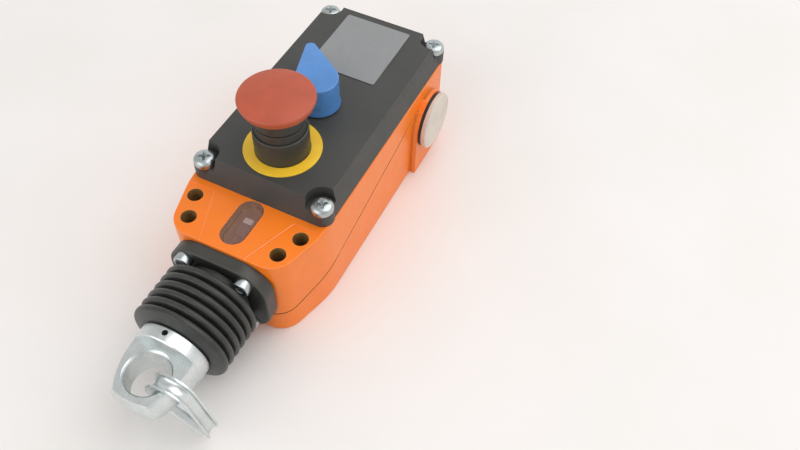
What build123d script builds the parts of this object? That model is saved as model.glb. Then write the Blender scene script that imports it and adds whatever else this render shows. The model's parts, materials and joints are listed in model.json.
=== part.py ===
from build123d import *
import math
import os

os.makedirs("parts", exist_ok=True)

# Rope pull switch for a machine's emergency stop line.
# Lengths in millimetres, +Z up, the rope pulls towards -Y.
# The origin is midway between the two outer fixing holes, on the base face.

# Die-cast housing
WIDTH = 54.0
LENGTH = 121.0
HEIGHT = 39.0
NOSE_Y = -15.6
NOSE_TAPER = 6.0
SHOULDER_Y = 6.0
SHOULDER_RADIUS = 40.0
NOSE_RADIUS = 9.0
REAR_RADIUS = 5.0
DECK_EDGE_RADIUS = 0.8
BASE_CHAMFER = 0.6
WALL = 3.0
FLOOR = 3.5
FRONT_BLOCK_END_Y = 12.5
CAVITY_RADIUS = 3.0
PARTING_GROOVE_WIDTH = 0.8
PARTING_GROOVE_DEPTH = 0.35
PARTING_GROOVE_RISE = 12.3
PARTING_GROOVE_Z = 13.7

# Fixing holes through the nose
FIXING_HOLE_RADIUS = 2.75
OUTER_FIXING_EDGE = 6.2
INNER_FIXING_EDGE = 9.6
INNER_FIXING_Y = -8.8
LAND_STEP = 0.3
LAND_FRONT_X = 8.3
LAND_REAR_X = 15.8
LAND_REAR_Y = 4.2

# Cover and its screws
COVER_EDGE = 0.3
COVER_FRONT_Y = 6.9
COVER_REAR_EDGE = 0.4
COVER_HEIGHT = 9.6
COVER_SIDE_SLOPE = 2.3
COVER_FRONT_SLOPE = 3.3
COVER_REAR_SLOPE = 2.8
COVER_TOP_CORNER = 1.5
COVER_WALL = 3.0
COVER_EAR_RADIUS = 4.1
COVER_EAR_OVERHANG = 0.2
COVER_EAR_HEIGHT = 4.6
COVER_POCKET_RADIUS = 5.6
COVER_ROOM_CORNER = 2.0
COVER_SCREW_RADIUS = 2.0
COVER_SCREW_DEPTH = 12.0
COVER_HEAD_RADIUS = 4.0
COVER_HEAD_HEIGHT = 3.1
COVER_SCREW_TURN = 30.0
HEAD_EDGE = 0.5
HEAD_SHOULDER_RADIUS = 0.86
HEAD_SHOULDER_HEIGHT = 0.82
HEAD_CROWN = 0.6
RECESS_WIDTH = 0.26
RECESS_REACH = 1.15
RECESS_DEPTH = 0.55
SCREW_CLEARANCE = 0.15
COLUMN_RADIUS = 5.2
GASKET_WIDTH = 1.6
GASKET_HEIGHT = 1.2
GASKET_INSET = 0.8
GASKET_TURN = 2.9

# Rope axis: rod, bush and eye
AXIS_DROP = 16.5
ROD_RADIUS = 4.0
RUNNING_CLEARANCE = 0.05
ROD_BORE_RADIUS = 5.2
ROD_REAR_GAP = 3.9
ROD_CHAMFER = 0.4
BUSH_RADIUS = 6.0
BUSH_LENGTH = 6.2
PULL_TRAVEL = 5.0
COLLAR_RADIUS = 12.5
COLLAR_BACK_Y = -45.4
COLLAR_LENGTH = 5.0
EYE_HUB_RADIUS = 7.0
EYE_HUB_LENGTH = 6.0
EYE_END_Y = -69.4
EYE_THICKNESS = 11.0
EYE_SHOULDER_RADIUS = 12.1
EYE_END_RADIUS = 8.1
EYE_END_DOME = 1.5
EYE_SIDE_BULGE = 1.1
EYE_HOLE_CHAMFER = 0.7
EYE_HOLE_RADIUS = 7.3
EYE_HOLE_Y = -58.9
EYE_PIN_RADIUS = 1.0
EYE_PIN_SETBACK = 2.0
ROD_END_WALL = 1.3
EYE_PIN_RECESS = 2.4

# Flange and bellows
FLANGE_THICKNESS = 5.0
FLANGE_HALF_WIDTH = 19.0
FLANGE_HALF_HEIGHT = 15.2
FLANGE_CORNER = 11.0
FLANGE_EDGE = 0.4
FLANGE_BORE_RADIUS = 8.2
SPIGOT_RADIUS = 11.0
SPIGOT_LENGTH = 3.8
FLANGE_SCREW_X = 11.4
FLANGE_SCREW_Z = 10.9
FLANGE_SCREW_RADIUS = 1.5
FLANGE_SCREW_DEPTH = 8.0
FLANGE_HEAD_RADIUS = 3.0
FLANGE_HEAD_HEIGHT = 3.0
FLANGE_KEY_RADIUS = 1.5
RIB_COUNT = 6
RIB_PITCH = 3.34
FIRST_RIB_Y = -26.1
RIB_CREST_RADIUS = 17.5
RIB_ROOT_RADIUS = 14.2
RIB_CREST_FLAT = 0.9
RIB_FOOT_FLAT = 0.5
BELLOWS_WALL = 0.75
SOFT_GAP = 0.3
CUFF_BACK_GAP = 0.6
CUFF_WALL = 0.9
END_FOLD_LENGTH = 1.3
END_FOLD_DROP = 0.9
END_LIP = 0.8

# Window and indicator
WINDOW_Y = -3.0
WINDOW_LENGTH = 19.2
WINDOW_WIDTH = 9.0
WINDOW_THICKNESS = 2.4
WINDOW_LEDGE = 1.0
FIT_CLEARANCE = 0.1
INDICATOR_WIDTH = 3.4
INDICATOR_LENGTH = 5.0
INDICATOR_FRONT_Y = -5.9
INDICATOR_TAB_LENGTH = 2.2
INDICATOR_TOP_GAP = 0.8
INDICATOR_PLATE = 2.0
INDICATOR_LEG = 1.6
INDICATOR_CLEARANCE = 0.3
CHAMBER_DEPTH = 8.5
LEG_SLOT_WIDTH = 3.2
LEG_SLOT_MARGIN = 1.0
LENS_RISE = 0.4
LENS_CHAMFER = 0.35

# Spring, cam and contacts
SPRING_WIRE = 1.7
SPRING_RADIUS = 6.4
SPRING_TURNS = 7
SPRING_FLATTEN = 0.9
SPRING_WASHER = 1.2
RETAINER_LEAD = 7.5
RETAINER_NOSE = 2.0
RETAINER_THICKNESS = 3.0
RETAINER_RADIUS = 8.5
CAM_LEAD = 8.0
CAM_LENGTH = 22.0
CAM_FRONT_RADIUS = 6.0
CAM_RISE_PER_MM = 1.0 / 6.0
CAM_NUT_LENGTH = 4.0
CAM_NUT_RADIUS = 7.0
CONTACT_LEAD = 19.0
CONTACT_WALL_GAP = 2.2
CONTACT_WIDTH = 10.0
CONTACT_LENGTH = 20.0
CONTACT_CROWN = 7.0
CONTACT_CHAMFER = 0.6
PLUNGER_RADIUS = 1.75
PLUNGER_HOLD = 7.0
PLUNGER_GAP = 0.08
PLUNGER_END_GAP = 0.4
TERMINAL_RADIUS = 2.3
TERMINAL_HEAD = 1.4
TERMINAL_SHANK_RADIUS = 1.3
TERMINAL_DEPTH = 6.0
TERMINAL_SPACING = 5.6
TERMINAL_ASPECT = 0.85
TERMINAL_TURN = 25.0
TERMINAL_SLOT_WIDTH = 0.7
TERMINAL_SLOT_DEPTH = 0.6
BLOCK_SCREW_SPACING = 15.0
BLOCK_SCREW_RADIUS = 1.5
BLOCK_SCREW_HEAD_RADIUS = 2.6
BLOCK_SCREW_HEAD = 2.0
BLOCK_SCREW_BITE = 2.0
BLOCK_HOLE_CLEARANCE = 0.1
BLOCK_HEAD_CLEARANCE = 0.2
THREAD_FIT = 0.05
GUIDE_REAR_GAP = 15.4
GUIDE_THICKNESS = 4.5
GUIDE_HALF_WIDTH = 10.0
GUIDE_CROWN = 8.5
GUIDE_CORNER = 5.0
GUIDE_SCREW_EDGE = 3.2
GUIDE_FOOT_LENGTH = 11.0
GUIDE_FOOT_HEIGHT = 4.0

# Mushroom button
BUTTON_Y = 25.2
MUSHROOM_RADIUS = 13.0
MUSHROOM_RISE = 25.8
MUSHROOM_RIM_DROP = 1.2
MUSHROOM_SKIRT_RADIUS = 12.2
MUSHROOM_SKIRT_EDGE = 0.6
MUSHROOM_DEPTH = 5.0
MUSHROOM_CROWN = 6.0
MUSHROOM_DOME_X = 6.4
MUSHROOM_DOME_DROP = 0.26
MUSHROOM_ROUNDING = 1.0
BUTTON_TRAVEL = 4.0
BUTTON_HUB_RADIUS = 7.5
BUTTON_HUB_WALL = 1.2
BUTTON_HUB_GAP = 0.6
SLEEVE_RADIUS = 8.9
SLEEVE_SPLIT_RISE = 14.0
SLEEVE_SPLIT = 0.5
BUTTON_COLLAR_RADIUS = 9.7
BUTTON_COLLAR_RISE = 10.4
BUTTON_COLLAR_EDGE = 0.3
BUTTON_COLLAR_BASE = 2.0
BUTTON_NECK_RADIUS = 7.5
BUTTON_NECK_LENGTH = 8.4
BUTTON_NUT_RADIUS = 10.5
BUTTON_NUT_HEIGHT = 2.6
BUTTON_NUT_GAP = 0.5
STEM_RADIUS = 3.5
STEM_LENGTH = 31.9
STEM_CHAMFER = 0.6
STEM_RING_RADIUS = 5.2
STEM_RING_THICKNESS = 1.0
BUTTON_SPRING_WIRE = 0.9
BUTTON_SPRING_TURNS = 4
RING_OUTER_RADIUS = 13.7
RING_THICKNESS = 0.4

# Reset knob
KNOB_Y = 49.9
KNOB_RADIUS = 7.9
KNOB_FOOT_RADIUS = 8.4
KNOB_RISE = 12.3
KNOB_GAP = 0.6
KNOB_FOOT_HEIGHT = 3.0
KNOB_ROUNDING = 0.6
KNOB_POINTER_INSET = 0.05
KNOB_REACH = 19.4
KNOB_TIP_RADIUS = 1.9
KNOB_TIP_DROP = 1.6
KNOB_POINTER_STEP = 0.5
KNOB_ANGLE = 36.0
SHAFT_RADIUS = 3.0
SHAFT_REACH = 15.6
SHAFT_SOCKET = 7.0
KNOB_BUSH_RADIUS = 4.8
KNOB_BUSH_FLANGE = 6.5
KNOB_BUSH_FLANGE_HEIGHT = 1.2
KNOB_BUSH_SEAT = 1.0
KNOB_RING_GAP = 0.1
KNOB_RING_THICKNESS = 0.8
KNOB_RING_RADIUS = 5.0
SEAL_RADIUS = 0.9
RESET_CAM_RADIUS = 5.5
RESET_CAM_LOBE = 9.0
RESET_CAM_TIP = 2.0
RESET_CAM_THICKNESS = 3.5

# Rating plate, left blank
PLATE_WIDTH = 27.2
PLATE_REAR_EDGE = 6.0
PLATE_LENGTH = 32.0
PLATE_THICKNESS = 0.3
PLATE_CORNER = 0.8

# Cable entries
ENTRY_REAR_EDGE = 19.0
ENTRY_DROP = 17.6
ENTRY_BOSS_RADIUS = 12.0
ENTRY_BOSS_HEIGHT = 2.3
ENTRY_RADIUS = 9.25
PLUG_SHANK_CLEARANCE = 0.1
PLUG_HEAD_RADIUS = 11.6
PLUG_HEAD_THICKNESS = 2.2
PLUG_GASKET_RADIUS = 11.3
PLUG_GASKET_THICKNESS = 1.2
PLUG_LENGTH = 6.5
PLUG_WALL = 2.0
PLUG_CROWN = 0.5
PLUG_ROUNDING = 0.7

# Earth terminal
EARTH_X = -14.0
EARTH_REAR_GAP = 6.4
EARTH_PILLAR_RADIUS = 3.6
EARTH_PILLAR_HEIGHT = 4.0
EARTH_SCREW_RADIUS = 1.75
EARTH_HEAD_RADIUS = 3.4
EARTH_HEAD_HEIGHT = 2.2
EARTH_CLAMP_THICKNESS = 1.0
EARTH_SCREW_GAP = 0.5
EARTH_CLAMP_SIDE = 7.6

# Thimble for the rope
THIMBLE_X = 8.9
THIMBLE_SADDLE_RADIUS = 6.6
THIMBLE_SHEET = 0.8
THIMBLE_LIP = 0.4
THIMBLE_WIDTH = 5.2
THIMBLE_LENGTH = 22.3
THIMBLE_TAPER = 16.5
THIMBLE_TILT = 18.0
THIMBLE_TIP_GAP = 0.5

# Worked-out planes of the housing
HALF_WIDTH = WIDTH / 2
REAR_Y = NOSE_Y + LENGTH
AXIS_Z = HEIGHT - AXIS_DROP
NOSE_HALF_WIDTH = HALF_WIDTH - NOSE_TAPER
OUTER_FIXING_X = HALF_WIDTH - OUTER_FIXING_EDGE
INNER_FIXING_X = HALF_WIDTH - INNER_FIXING_EDGE
CAVITY_HALF_WIDTH = HALF_WIDTH - WALL
CAVITY_REAR_Y = REAR_Y - WALL
CHAMBER_FLOOR_Z = HEIGHT - CHAMBER_DEPTH
ENTRY_Y = REAR_Y - ENTRY_REAR_EDGE
ENTRY_Z = HEIGHT - ENTRY_DROP
ENTRY_FACE_X = HALF_WIDTH + ENTRY_BOSS_HEIGHT
EARTH_Y = CAVITY_REAR_Y - EARTH_REAR_GAP

# Worked-out planes of the cover and what stands on it
COVER_HALF_WIDTH = HALF_WIDTH - COVER_EDGE
COVER_REAR_Y = REAR_Y - COVER_REAR_EDGE
COVER_TOP_Z = HEIGHT + COVER_HEIGHT
COVER_INSIDE_Z = COVER_TOP_Z - COVER_WALL
COVER_SCREW_X = HALF_WIDTH + COVER_EAR_OVERHANG - COVER_EAR_RADIUS
COVER_SCREW_FRONT_Y = COVER_FRONT_Y + COVER_EAR_RADIUS
COVER_SCREW_REAR_Y = COVER_REAR_Y - COVER_EAR_RADIUS
EAR_TOP_Z = HEIGHT + COVER_EAR_HEIGHT
MUSHROOM_TOP_Z = COVER_TOP_Z + MUSHROOM_RISE
MUSHROOM_RIM_Z = MUSHROOM_TOP_Z - MUSHROOM_RIM_DROP
MUSHROOM_UNDERSIDE_Z = MUSHROOM_TOP_Z - MUSHROOM_DEPTH
STEM_TOP_Z = MUSHROOM_TOP_Z - MUSHROOM_CROWN
STEM_BOTTOM_Z = STEM_TOP_Z - STEM_LENGTH
SLEEVE_SPLIT_Z = COVER_TOP_Z + SLEEVE_SPLIT_RISE
BUTTON_COLLAR_TOP_Z = COVER_TOP_Z + BUTTON_COLLAR_RISE
BUTTON_COLLAR_FLOOR_Z = COVER_TOP_Z + BUTTON_COLLAR_BASE
BUTTON_NECK_BOTTOM_Z = COVER_TOP_Z - BUTTON_NECK_LENGTH
HUB_BOTTOM_Z = BUTTON_COLLAR_FLOOR_Z + BUTTON_TRAVEL + BUTTON_HUB_GAP
HUB_INSIDE_RADIUS = BUTTON_HUB_RADIUS - BUTTON_HUB_WALL
KNOB_TOP_Z = COVER_TOP_Z + KNOB_RISE
SHAFT_BOTTOM_Z = COVER_TOP_Z - SHAFT_REACH
PLATE_REAR_Y = COVER_REAR_Y - PLATE_REAR_EDGE

# Worked-out planes of the rope gear and the switching gear
FLANGE_FRONT_Y = NOSE_Y - FLANGE_THICKNESS
COLLAR_FRONT_Y = COLLAR_BACK_Y - COLLAR_LENGTH
EYE_PIN_Y = COLLAR_BACK_Y - EYE_PIN_SETBACK
ROD_REAR_Y = CAVITY_REAR_Y - ROD_REAR_GAP
SPRING_FRONT_Y = FRONT_BLOCK_END_Y + SPRING_WASHER
GUIDE_Y = CAVITY_REAR_Y - GUIDE_REAR_GAP
CONTACT_Y = GUIDE_Y - CONTACT_LEAD
CONTACT_OUTER_X = CAVITY_HALF_WIDTH - CONTACT_WALL_GAP
CONTACT_INNER_X = CONTACT_OUTER_X - CONTACT_WIDTH
CONTACT_TOP_Z = AXIS_Z + CONTACT_CROWN
CAM_FRONT_Y = CONTACT_Y - CAM_LEAD
CAM_ANGLE = math.atan(CAM_RISE_PER_MM)
RETAINER_Y = CAM_FRONT_Y - RETAINER_LEAD
RETAINER_BACK_Y = RETAINER_Y + RETAINER_THICKNESS
SCREW_PLACES = [
    (side * COVER_SCREW_X, y)
    for side in (-1, 1)
    for y in (COVER_SCREW_FRONT_Y, COVER_SCREW_REAR_Y)
]
FLANGE_SCREW_PLACES = [
    (side * FLANGE_SCREW_X, AXIS_Z + level * FLANGE_SCREW_Z)
    for side in (-1, 1)
    for level in (-1, 1)
]


def post(radius, bottom, top, x=0.0, y=0.0):
    """Upright round bar."""
    return Pos(x, y, bottom) * Cylinder(radius, top - bottom, align=(Align.CENTER, Align.CENTER, Align.MIN))


def bar(radius, front, back, x=0.0, z=AXIS_Z):
    """Round bar along the rope axis, its seam turned clear of upright cross holes."""
    upright = Cylinder(radius, back - front, align=(Align.CENTER, Align.CENTER, Align.MIN))
    return Pos(x, back, z) * Rot(90, 0, 0) * Rot(0, 0, 45) * upright


def peg(radius, left, right, y, z):
    """Round bar across the housing."""
    upright = Cylinder(radius, right - left, align=(Align.CENTER, Align.CENTER, Align.MIN))
    return Pos(left, y, z) * Rot(0, 90, 0) * upright


def block(left, right, front, back, bottom, top):
    """Box between six planes."""
    centre = Pos((left + right) / 2, (front + back) / 2, (bottom + top) / 2)
    return centre * Box(right - left, back - front, top - bottom)


def turned_about_rope(face):
    """Turn a profile of (radius, y) points about the rope axis."""
    axis = Axis((0, 0, AXIS_Z), (0, 1, 0))
    return revolve(Pos(0, 0, AXIS_Z) * face, axis, 360)


def turned_upright(face, x, y):
    """Turn a profile of (radius, height) points about an upright axis."""
    return Pos(x, y, 0) * revolve(Plane.XZ * face, Axis.Z, 360)


def outline(points):
    """Closed face through straight-edged points."""
    return make_face(Polyline(*points, close=True))


def rounded_slab(left, right, front, back, bottom, top, radius):
    """Slab with rounded upright corners."""
    plan = Pos((left + right) / 2, (front + back) / 2) * RectangleRounded(right - left, back - front, radius)
    return extrude(Pos(0, 0, bottom) * plan, top - bottom)


def obround(width, length, bottom, top):
    """Slot-shaped slab with its long axis along the rope, at the window."""
    plan = Pos(0, WINDOW_Y) * Rot(0, 0, 90) * SlotOverall(length, width)
    return extrude(Pos(0, 0, bottom) * plan, top - bottom)


def coil(radius, wire, turns, length):
    """Compression spring of square wire standing on z = 0, with its wire inside the length."""
    path = Helix((length - wire) / turns, length - wire, radius)
    start = path @ 0
    section = Plane(origin=start, z_dir=path % 0, x_dir=(1, 0, 0)) * Rectangle(wire, wire * SPRING_FLATTEN)
    return Pos(0, 0, wire / 2) * sweep(section, path, is_frenet=True)


def body_plan(inset=0.0):
    """Plan of the housing: a long box whose nose narrows to the rope flange."""
    points = [
        (-HALF_WIDTH, REAR_Y),
        (-HALF_WIDTH, SHOULDER_Y),
        (-NOSE_HALF_WIDTH, NOSE_Y),
        (NOSE_HALF_WIDTH, NOSE_Y),
        (HALF_WIDTH, SHOULDER_Y),
        (HALF_WIDTH, REAR_Y),
    ]
    plan = outline(points)
    rear = [v for v in plan.vertices() if v.Y > REAR_Y - 1]
    plan = fillet(rear, REAR_RADIUS)
    nose = [v for v in plan.vertices() if v.Y < NOSE_Y + 1]
    plan = fillet(nose, NOSE_RADIUS)
    shoulder = [v for v in plan.vertices() if abs(v.Y - SHOULDER_Y) < 0.1]
    plan = fillet(shoulder, SHOULDER_RADIUS)
    if inset:
        plan = offset(plan, amount=-inset)
    return plan


def parting_groove():
    """Fine mould line that climbs from the nose to the cable entries."""
    ring = extrude(body_plan(), HEIGHT) - extrude(body_plan(PARTING_GROOVE_DEPTH), HEIGHT)
    length = (ENTRY_Y - NOSE_Y) / math.cos(math.radians(PARTING_GROOVE_RISE))
    sheet = Box(2 * WIDTH, 2 * length, PARTING_GROOVE_WIDTH)
    sheet = Pos(0, 0, PARTING_GROOVE_Z) * Rot(PARTING_GROOVE_RISE, 0, 0) * sheet
    ahead = block(-WIDTH, WIDTH, NOSE_Y - 1, ENTRY_Y, 0, HEIGHT)
    return ring & sheet & ahead


def entry_boss(side):
    """Arched boss of a cable entry, standing on the base."""
    inner = side * (HALF_WIDTH - WALL)
    outer = side * ENTRY_FACE_X
    left = min(inner, outer)
    right = max(inner, outer)
    arch = peg(ENTRY_BOSS_RADIUS, left, right, ENTRY_Y, ENTRY_Z)
    foot = block(left, right, ENTRY_Y - ENTRY_BOSS_RADIUS, ENTRY_Y + ENTRY_BOSS_RADIUS, 0, ENTRY_Z)
    return arch + foot


def fixing_land(side):
    """Shallow step that sets the deck round a pair of fixing holes a little lower."""
    corners = [
        (side * LAND_FRONT_X, NOSE_Y - 1),
        (side * LAND_REAR_X, LAND_REAR_Y),
        (side * WIDTH, LAND_REAR_Y),
        (side * WIDTH, NOSE_Y - 1),
    ]
    return extrude(Pos(0, 0, HEIGHT - LAND_STEP) * outline(corners), 2 * LAND_STEP)


def housing():
    body = extrude(body_plan(), HEIGHT)
    top = body.faces().sort_by(Axis.Z)[-1]
    body = fillet(top.edges(), DECK_EDGE_RADIUS)
    base = body.faces().sort_by(Axis.Z)[0]
    body = chamfer(base.edges(), BASE_CHAMFER)
    body -= parting_groove()
    for side in (-1, 1):
        body += entry_boss(side)
    room = rounded_slab(
        -CAVITY_HALF_WIDTH, CAVITY_HALF_WIDTH, FRONT_BLOCK_END_Y, CAVITY_REAR_Y, FLOOR, HEIGHT + 1, CAVITY_RADIUS
    )
    for x, y in SCREW_PLACES:
        room -= post(COLUMN_RADIUS, 0, HEIGHT + 2, x, y)
    body -= room
    body += post(EARTH_PILLAR_RADIUS, FLOOR - 1, FLOOR + EARTH_PILLAR_HEIGHT, EARTH_X, EARTH_Y)
    for side in (-1, 1):
        body -= peg(ENTRY_RADIUS, min(0, side * WIDTH), max(0, side * WIDTH), ENTRY_Y, ENTRY_Z)
        body -= post(FIXING_HOLE_RADIUS, -1, HEIGHT + 1, side * OUTER_FIXING_X, 0)
        body -= post(FIXING_HOLE_RADIUS, -1, HEIGHT + 1, side * INNER_FIXING_X, INNER_FIXING_Y)
        body -= fixing_land(side)
    for x, y in SCREW_PLACES:
        body -= post(COVER_SCREW_RADIUS, HEIGHT - COVER_SCREW_DEPTH - 1, HEIGHT + 1, x, y)
    for x, z in FLANGE_SCREW_PLACES:
        body -= bar(FLANGE_SCREW_RADIUS, NOSE_Y - 1, NOSE_Y + FLANGE_SCREW_DEPTH + FIT_CLEARANCE, x, z)
    body -= bar(ROD_BORE_RADIUS, NOSE_Y - 1, FRONT_BLOCK_END_Y + 1)
    body -= bar(BUSH_RADIUS, NOSE_Y - 1, NOSE_Y + BUSH_LENGTH)
    body -= obround(
        WINDOW_WIDTH + 2 * FIT_CLEARANCE, WINDOW_LENGTH + 2 * FIT_CLEARANCE, HEIGHT - WINDOW_THICKNESS, HEIGHT + 1
    )
    body -= obround(
        WINDOW_WIDTH - 2 * WINDOW_LEDGE, WINDOW_LENGTH - 2 * WINDOW_LEDGE, CHAMBER_FLOOR_Z, HEIGHT
    )
    leg_front = INDICATOR_FRONT_Y + INDICATOR_LENGTH - INDICATOR_LEG - PULL_TRAVEL - LEG_SLOT_MARGIN
    leg_back = INDICATOR_FRONT_Y + INDICATOR_LENGTH + LEG_SLOT_MARGIN
    body -= block(-LEG_SLOT_WIDTH / 2, LEG_SLOT_WIDTH / 2, leg_front, leg_back, AXIS_Z, CHAMBER_FLOOR_Z + 1)
    for x, y in block_screw_places() + guide_screw_places():
        body -= post(BLOCK_SCREW_RADIUS, FLOOR - BLOCK_SCREW_BITE, FLOOR + 1, x, y)
    body -= post(EARTH_SCREW_RADIUS, FLOOR, FLOOR + EARTH_PILLAR_HEIGHT + 1, EARTH_X, EARTH_Y)
    return body


def cover_plan(height, half_width, front, back, radius):
    return Pos(0, (front + back) / 2, height) * RectangleRounded(2 * half_width, back - front, radius)


def gasket_plan(inset):
    """Outline of the gasket, which runs along the rim and passes inside the corner screws."""
    half = COVER_HALF_WIDTH - inset
    front = COVER_FRONT_Y + inset
    back = COVER_REAR_Y - inset
    plan = Pos(0, (front + back) / 2) * Rectangle(2 * half, back - front)
    turn = GASKET_TURN + inset - GASKET_INSET
    for x, y in SCREW_PLACES:
        side = math.copysign(1, x)
        end = -1 if y == COVER_SCREW_FRONT_Y else 1
        corner = RectangleRounded(4 * COLUMN_RADIUS, 4 * COLUMN_RADIUS, turn)
        reach = 2 * COLUMN_RADIUS - turn
        plan -= Pos(x + side * reach, y + end * reach) * corner
    return plan


def cover_gasket_band(extra):
    """Ring under the cover's rim, grown by extra on every side."""
    outer = gasket_plan(GASKET_INSET - extra)
    inner = gasket_plan(GASKET_INSET + GASKET_WIDTH + extra)
    return extrude(Pos(0, 0, HEIGHT) * (outer - inner), GASKET_HEIGHT + extra)


def cover():
    """Cast lid with drawn-in sides and an ear in an open pocket at each corner."""
    corner = COVER_HALF_WIDTH - COVER_SCREW_X
    bottom = cover_plan(HEIGHT, COVER_HALF_WIDTH, COVER_FRONT_Y, COVER_REAR_Y, corner)
    top_half = COVER_HALF_WIDTH - COVER_SIDE_SLOPE
    top_front = COVER_FRONT_Y + COVER_FRONT_SLOPE
    top_back = COVER_REAR_Y - COVER_REAR_SLOPE
    top = cover_plan(COVER_TOP_Z, top_half, top_front, top_back, COVER_TOP_CORNER)
    body = loft(Sketch() + [bottom, top])
    for x, y in SCREW_PLACES:
        body += post(COVER_EAR_RADIUS, HEIGHT, EAR_TOP_Z, x, y)
        body -= post(COVER_POCKET_RADIUS, EAR_TOP_Z, COVER_TOP_Z + 1, x, y)
        body -= post(COVER_SCREW_RADIUS + SCREW_CLEARANCE, HEIGHT - 1, COVER_TOP_Z, x, y)
    inner_half = top_half - COVER_WALL - GASKET_WIDTH
    room_front = COVER_SCREW_FRONT_Y + COVER_POCKET_RADIUS + COVER_WALL
    room_back = COVER_SCREW_REAR_Y - COVER_POCKET_RADIUS - COVER_WALL
    body -= rounded_slab(
        -inner_half, inner_half, room_front, room_back, HEIGHT - 1, COVER_INSIDE_Z, COVER_ROOM_CORNER
    )
    nut_room = BUTTON_NUT_RADIUS + BUTTON_NUT_GAP
    body -= post(nut_room, HEIGHT - 1, COVER_INSIDE_Z, 0, BUTTON_Y)
    body -= post(BUTTON_NECK_RADIUS + FIT_CLEARANCE, HEIGHT, COVER_TOP_Z + 1, 0, BUTTON_Y)
    body -= post(KNOB_BUSH_RADIUS, HEIGHT, COVER_TOP_Z + 1, 0, KNOB_Y)
    body -= cover_gasket_band(FIT_CLEARANCE)
    return body


def pan_head(radius, height):
    """Half profile of a pan head standing on z = 0."""
    shoulder = (HEAD_SHOULDER_RADIUS * radius, HEAD_SHOULDER_HEIGHT * height)
    crown = (HEAD_CROWN * radius, height)
    return outline([(0, 0), (radius, 0), (radius, HEAD_EDGE * height), shoulder, crown, (0, height)])


def pan_screw(radius, depth, head_radius, head_height):
    """Cross-recess pan-head screw with its head's underside at z = 0."""
    head = revolve(Plane.XZ * pan_head(head_radius, head_height), Axis.Z, 360)
    screw = head + post(radius, -depth, 0)
    slot = head_radius * RECESS_WIDTH
    reach = head_radius * RECESS_REACH
    deep = head_height * RECESS_DEPTH
    for angle in (0, 90):
        screw -= Rot(0, 0, angle) * block(-reach / 2, reach / 2, -slot / 2, slot / 2, head_height - deep, head_height + 1)
    return screw


def cover_screws():
    depth = COVER_SCREW_DEPTH + COVER_EAR_HEIGHT
    screw = pan_screw(COVER_SCREW_RADIUS - SCREW_CLEARANCE / 3, depth, COVER_HEAD_RADIUS, COVER_HEAD_HEIGHT)
    return [Pos(x, y, EAR_TOP_Z) * Rot(0, 0, COVER_SCREW_TURN * i) * screw for i, (x, y) in enumerate(SCREW_PLACES)]


def flange_screws():
    """Socket-head screws that stand on the flange's front face."""
    front = FLANGE_FRONT_Y
    key = extrude(RegularPolygon(FLANGE_KEY_RADIUS, 6), FLANGE_HEAD_HEIGHT)
    screws = []
    for x, z in FLANGE_SCREW_PLACES:
        head = bar(FLANGE_HEAD_RADIUS, front - FLANGE_HEAD_HEIGHT, front, x, z)
        shank = bar(FLANGE_SCREW_RADIUS - THREAD_FIT, front, NOSE_Y + FLANGE_SCREW_DEPTH, x, z)
        screws.append(head + shank - Pos(x, front - FLANGE_HEAD_HEIGHT / 2, z) * Rot(90, 0, 0) * key)
    return screws


def bellows_flange():
    """Rounded plate with a spigot that carries the gaiter's cuff."""
    plan = RectangleRounded(2 * FLANGE_HALF_WIDTH, 2 * FLANGE_HALF_HEIGHT, FLANGE_CORNER)
    body = Pos(0, NOSE_Y, AXIS_Z) * Rot(90, 0, 0) * extrude(plan, FLANGE_THICKNESS)
    body = chamfer(body.faces().sort_by(Axis.Y)[0].edges(), FLANGE_EDGE)
    body += bar(SPIGOT_RADIUS, FLANGE_FRONT_Y - SPIGOT_LENGTH, FLANGE_FRONT_Y)
    body -= bar(FLANGE_BORE_RADIUS, FLANGE_FRONT_Y - SPIGOT_LENGTH - 1, NOSE_Y + 1)
    for x, z in FLANGE_SCREW_PLACES:
        body -= bar(FLANGE_SCREW_RADIUS + SCREW_CLEARANCE, FLANGE_FRONT_Y - 1, NOSE_Y + 1, x, z)
    return body


def bellows():
    """Rubber gaiter: a cuff on the flange, six folds and a closed end that grips the eye's hub."""
    cuff_back = FLANGE_FRONT_Y - CUFF_BACK_GAP
    cuff_inside = SPIGOT_RADIUS + SOFT_GAP
    cuff_outside = cuff_inside + CUFF_WALL
    spigot_end = FLANGE_FRONT_Y - SPIGOT_LENGTH - SOFT_GAP
    last_rib = FIRST_RIB_Y - (RIB_COUNT - 1) * RIB_PITCH
    end_face = COLLAR_BACK_Y + SOFT_GAP
    hub = EYE_HUB_RADIUS + SOFT_GAP
    half_pitch = RIB_PITCH / 2
    foot = half_pitch - RIB_FOOT_FLAT
    inner_crest = RIB_CREST_RADIUS - BELLOWS_WALL
    inner_root = RIB_ROOT_RADIUS - BELLOWS_WALL
    outer = [(cuff_outside, cuff_back), (cuff_outside, FIRST_RIB_Y + foot)]
    inner = [(cuff_inside, cuff_back), (cuff_inside, spigot_end)]
    for index in range(RIB_COUNT):
        y = FIRST_RIB_Y - index * RIB_PITCH
        outer += [(RIB_CREST_RADIUS, y + RIB_CREST_FLAT), (RIB_CREST_RADIUS, y - RIB_CREST_FLAT)]
        inner += [(inner_crest, y), (inner_root, y - half_pitch)]
        if index < RIB_COUNT - 1:
            outer += [(RIB_ROOT_RADIUS, y - foot), (RIB_ROOT_RADIUS, y + foot - RIB_PITCH)]
    outer += [
        (RIB_CREST_RADIUS - END_FOLD_DROP, last_rib - END_FOLD_LENGTH),
        (COLLAR_RADIUS + END_LIP, end_face),
        (hub, end_face),
        (hub, end_face + 2 * BELLOWS_WALL),
    ]
    inner += [(COLLAR_RADIUS + END_LIP / 2, end_face + 2 * BELLOWS_WALL)]
    return turned_about_rope(outline(outer + inner[::-1]))


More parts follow.
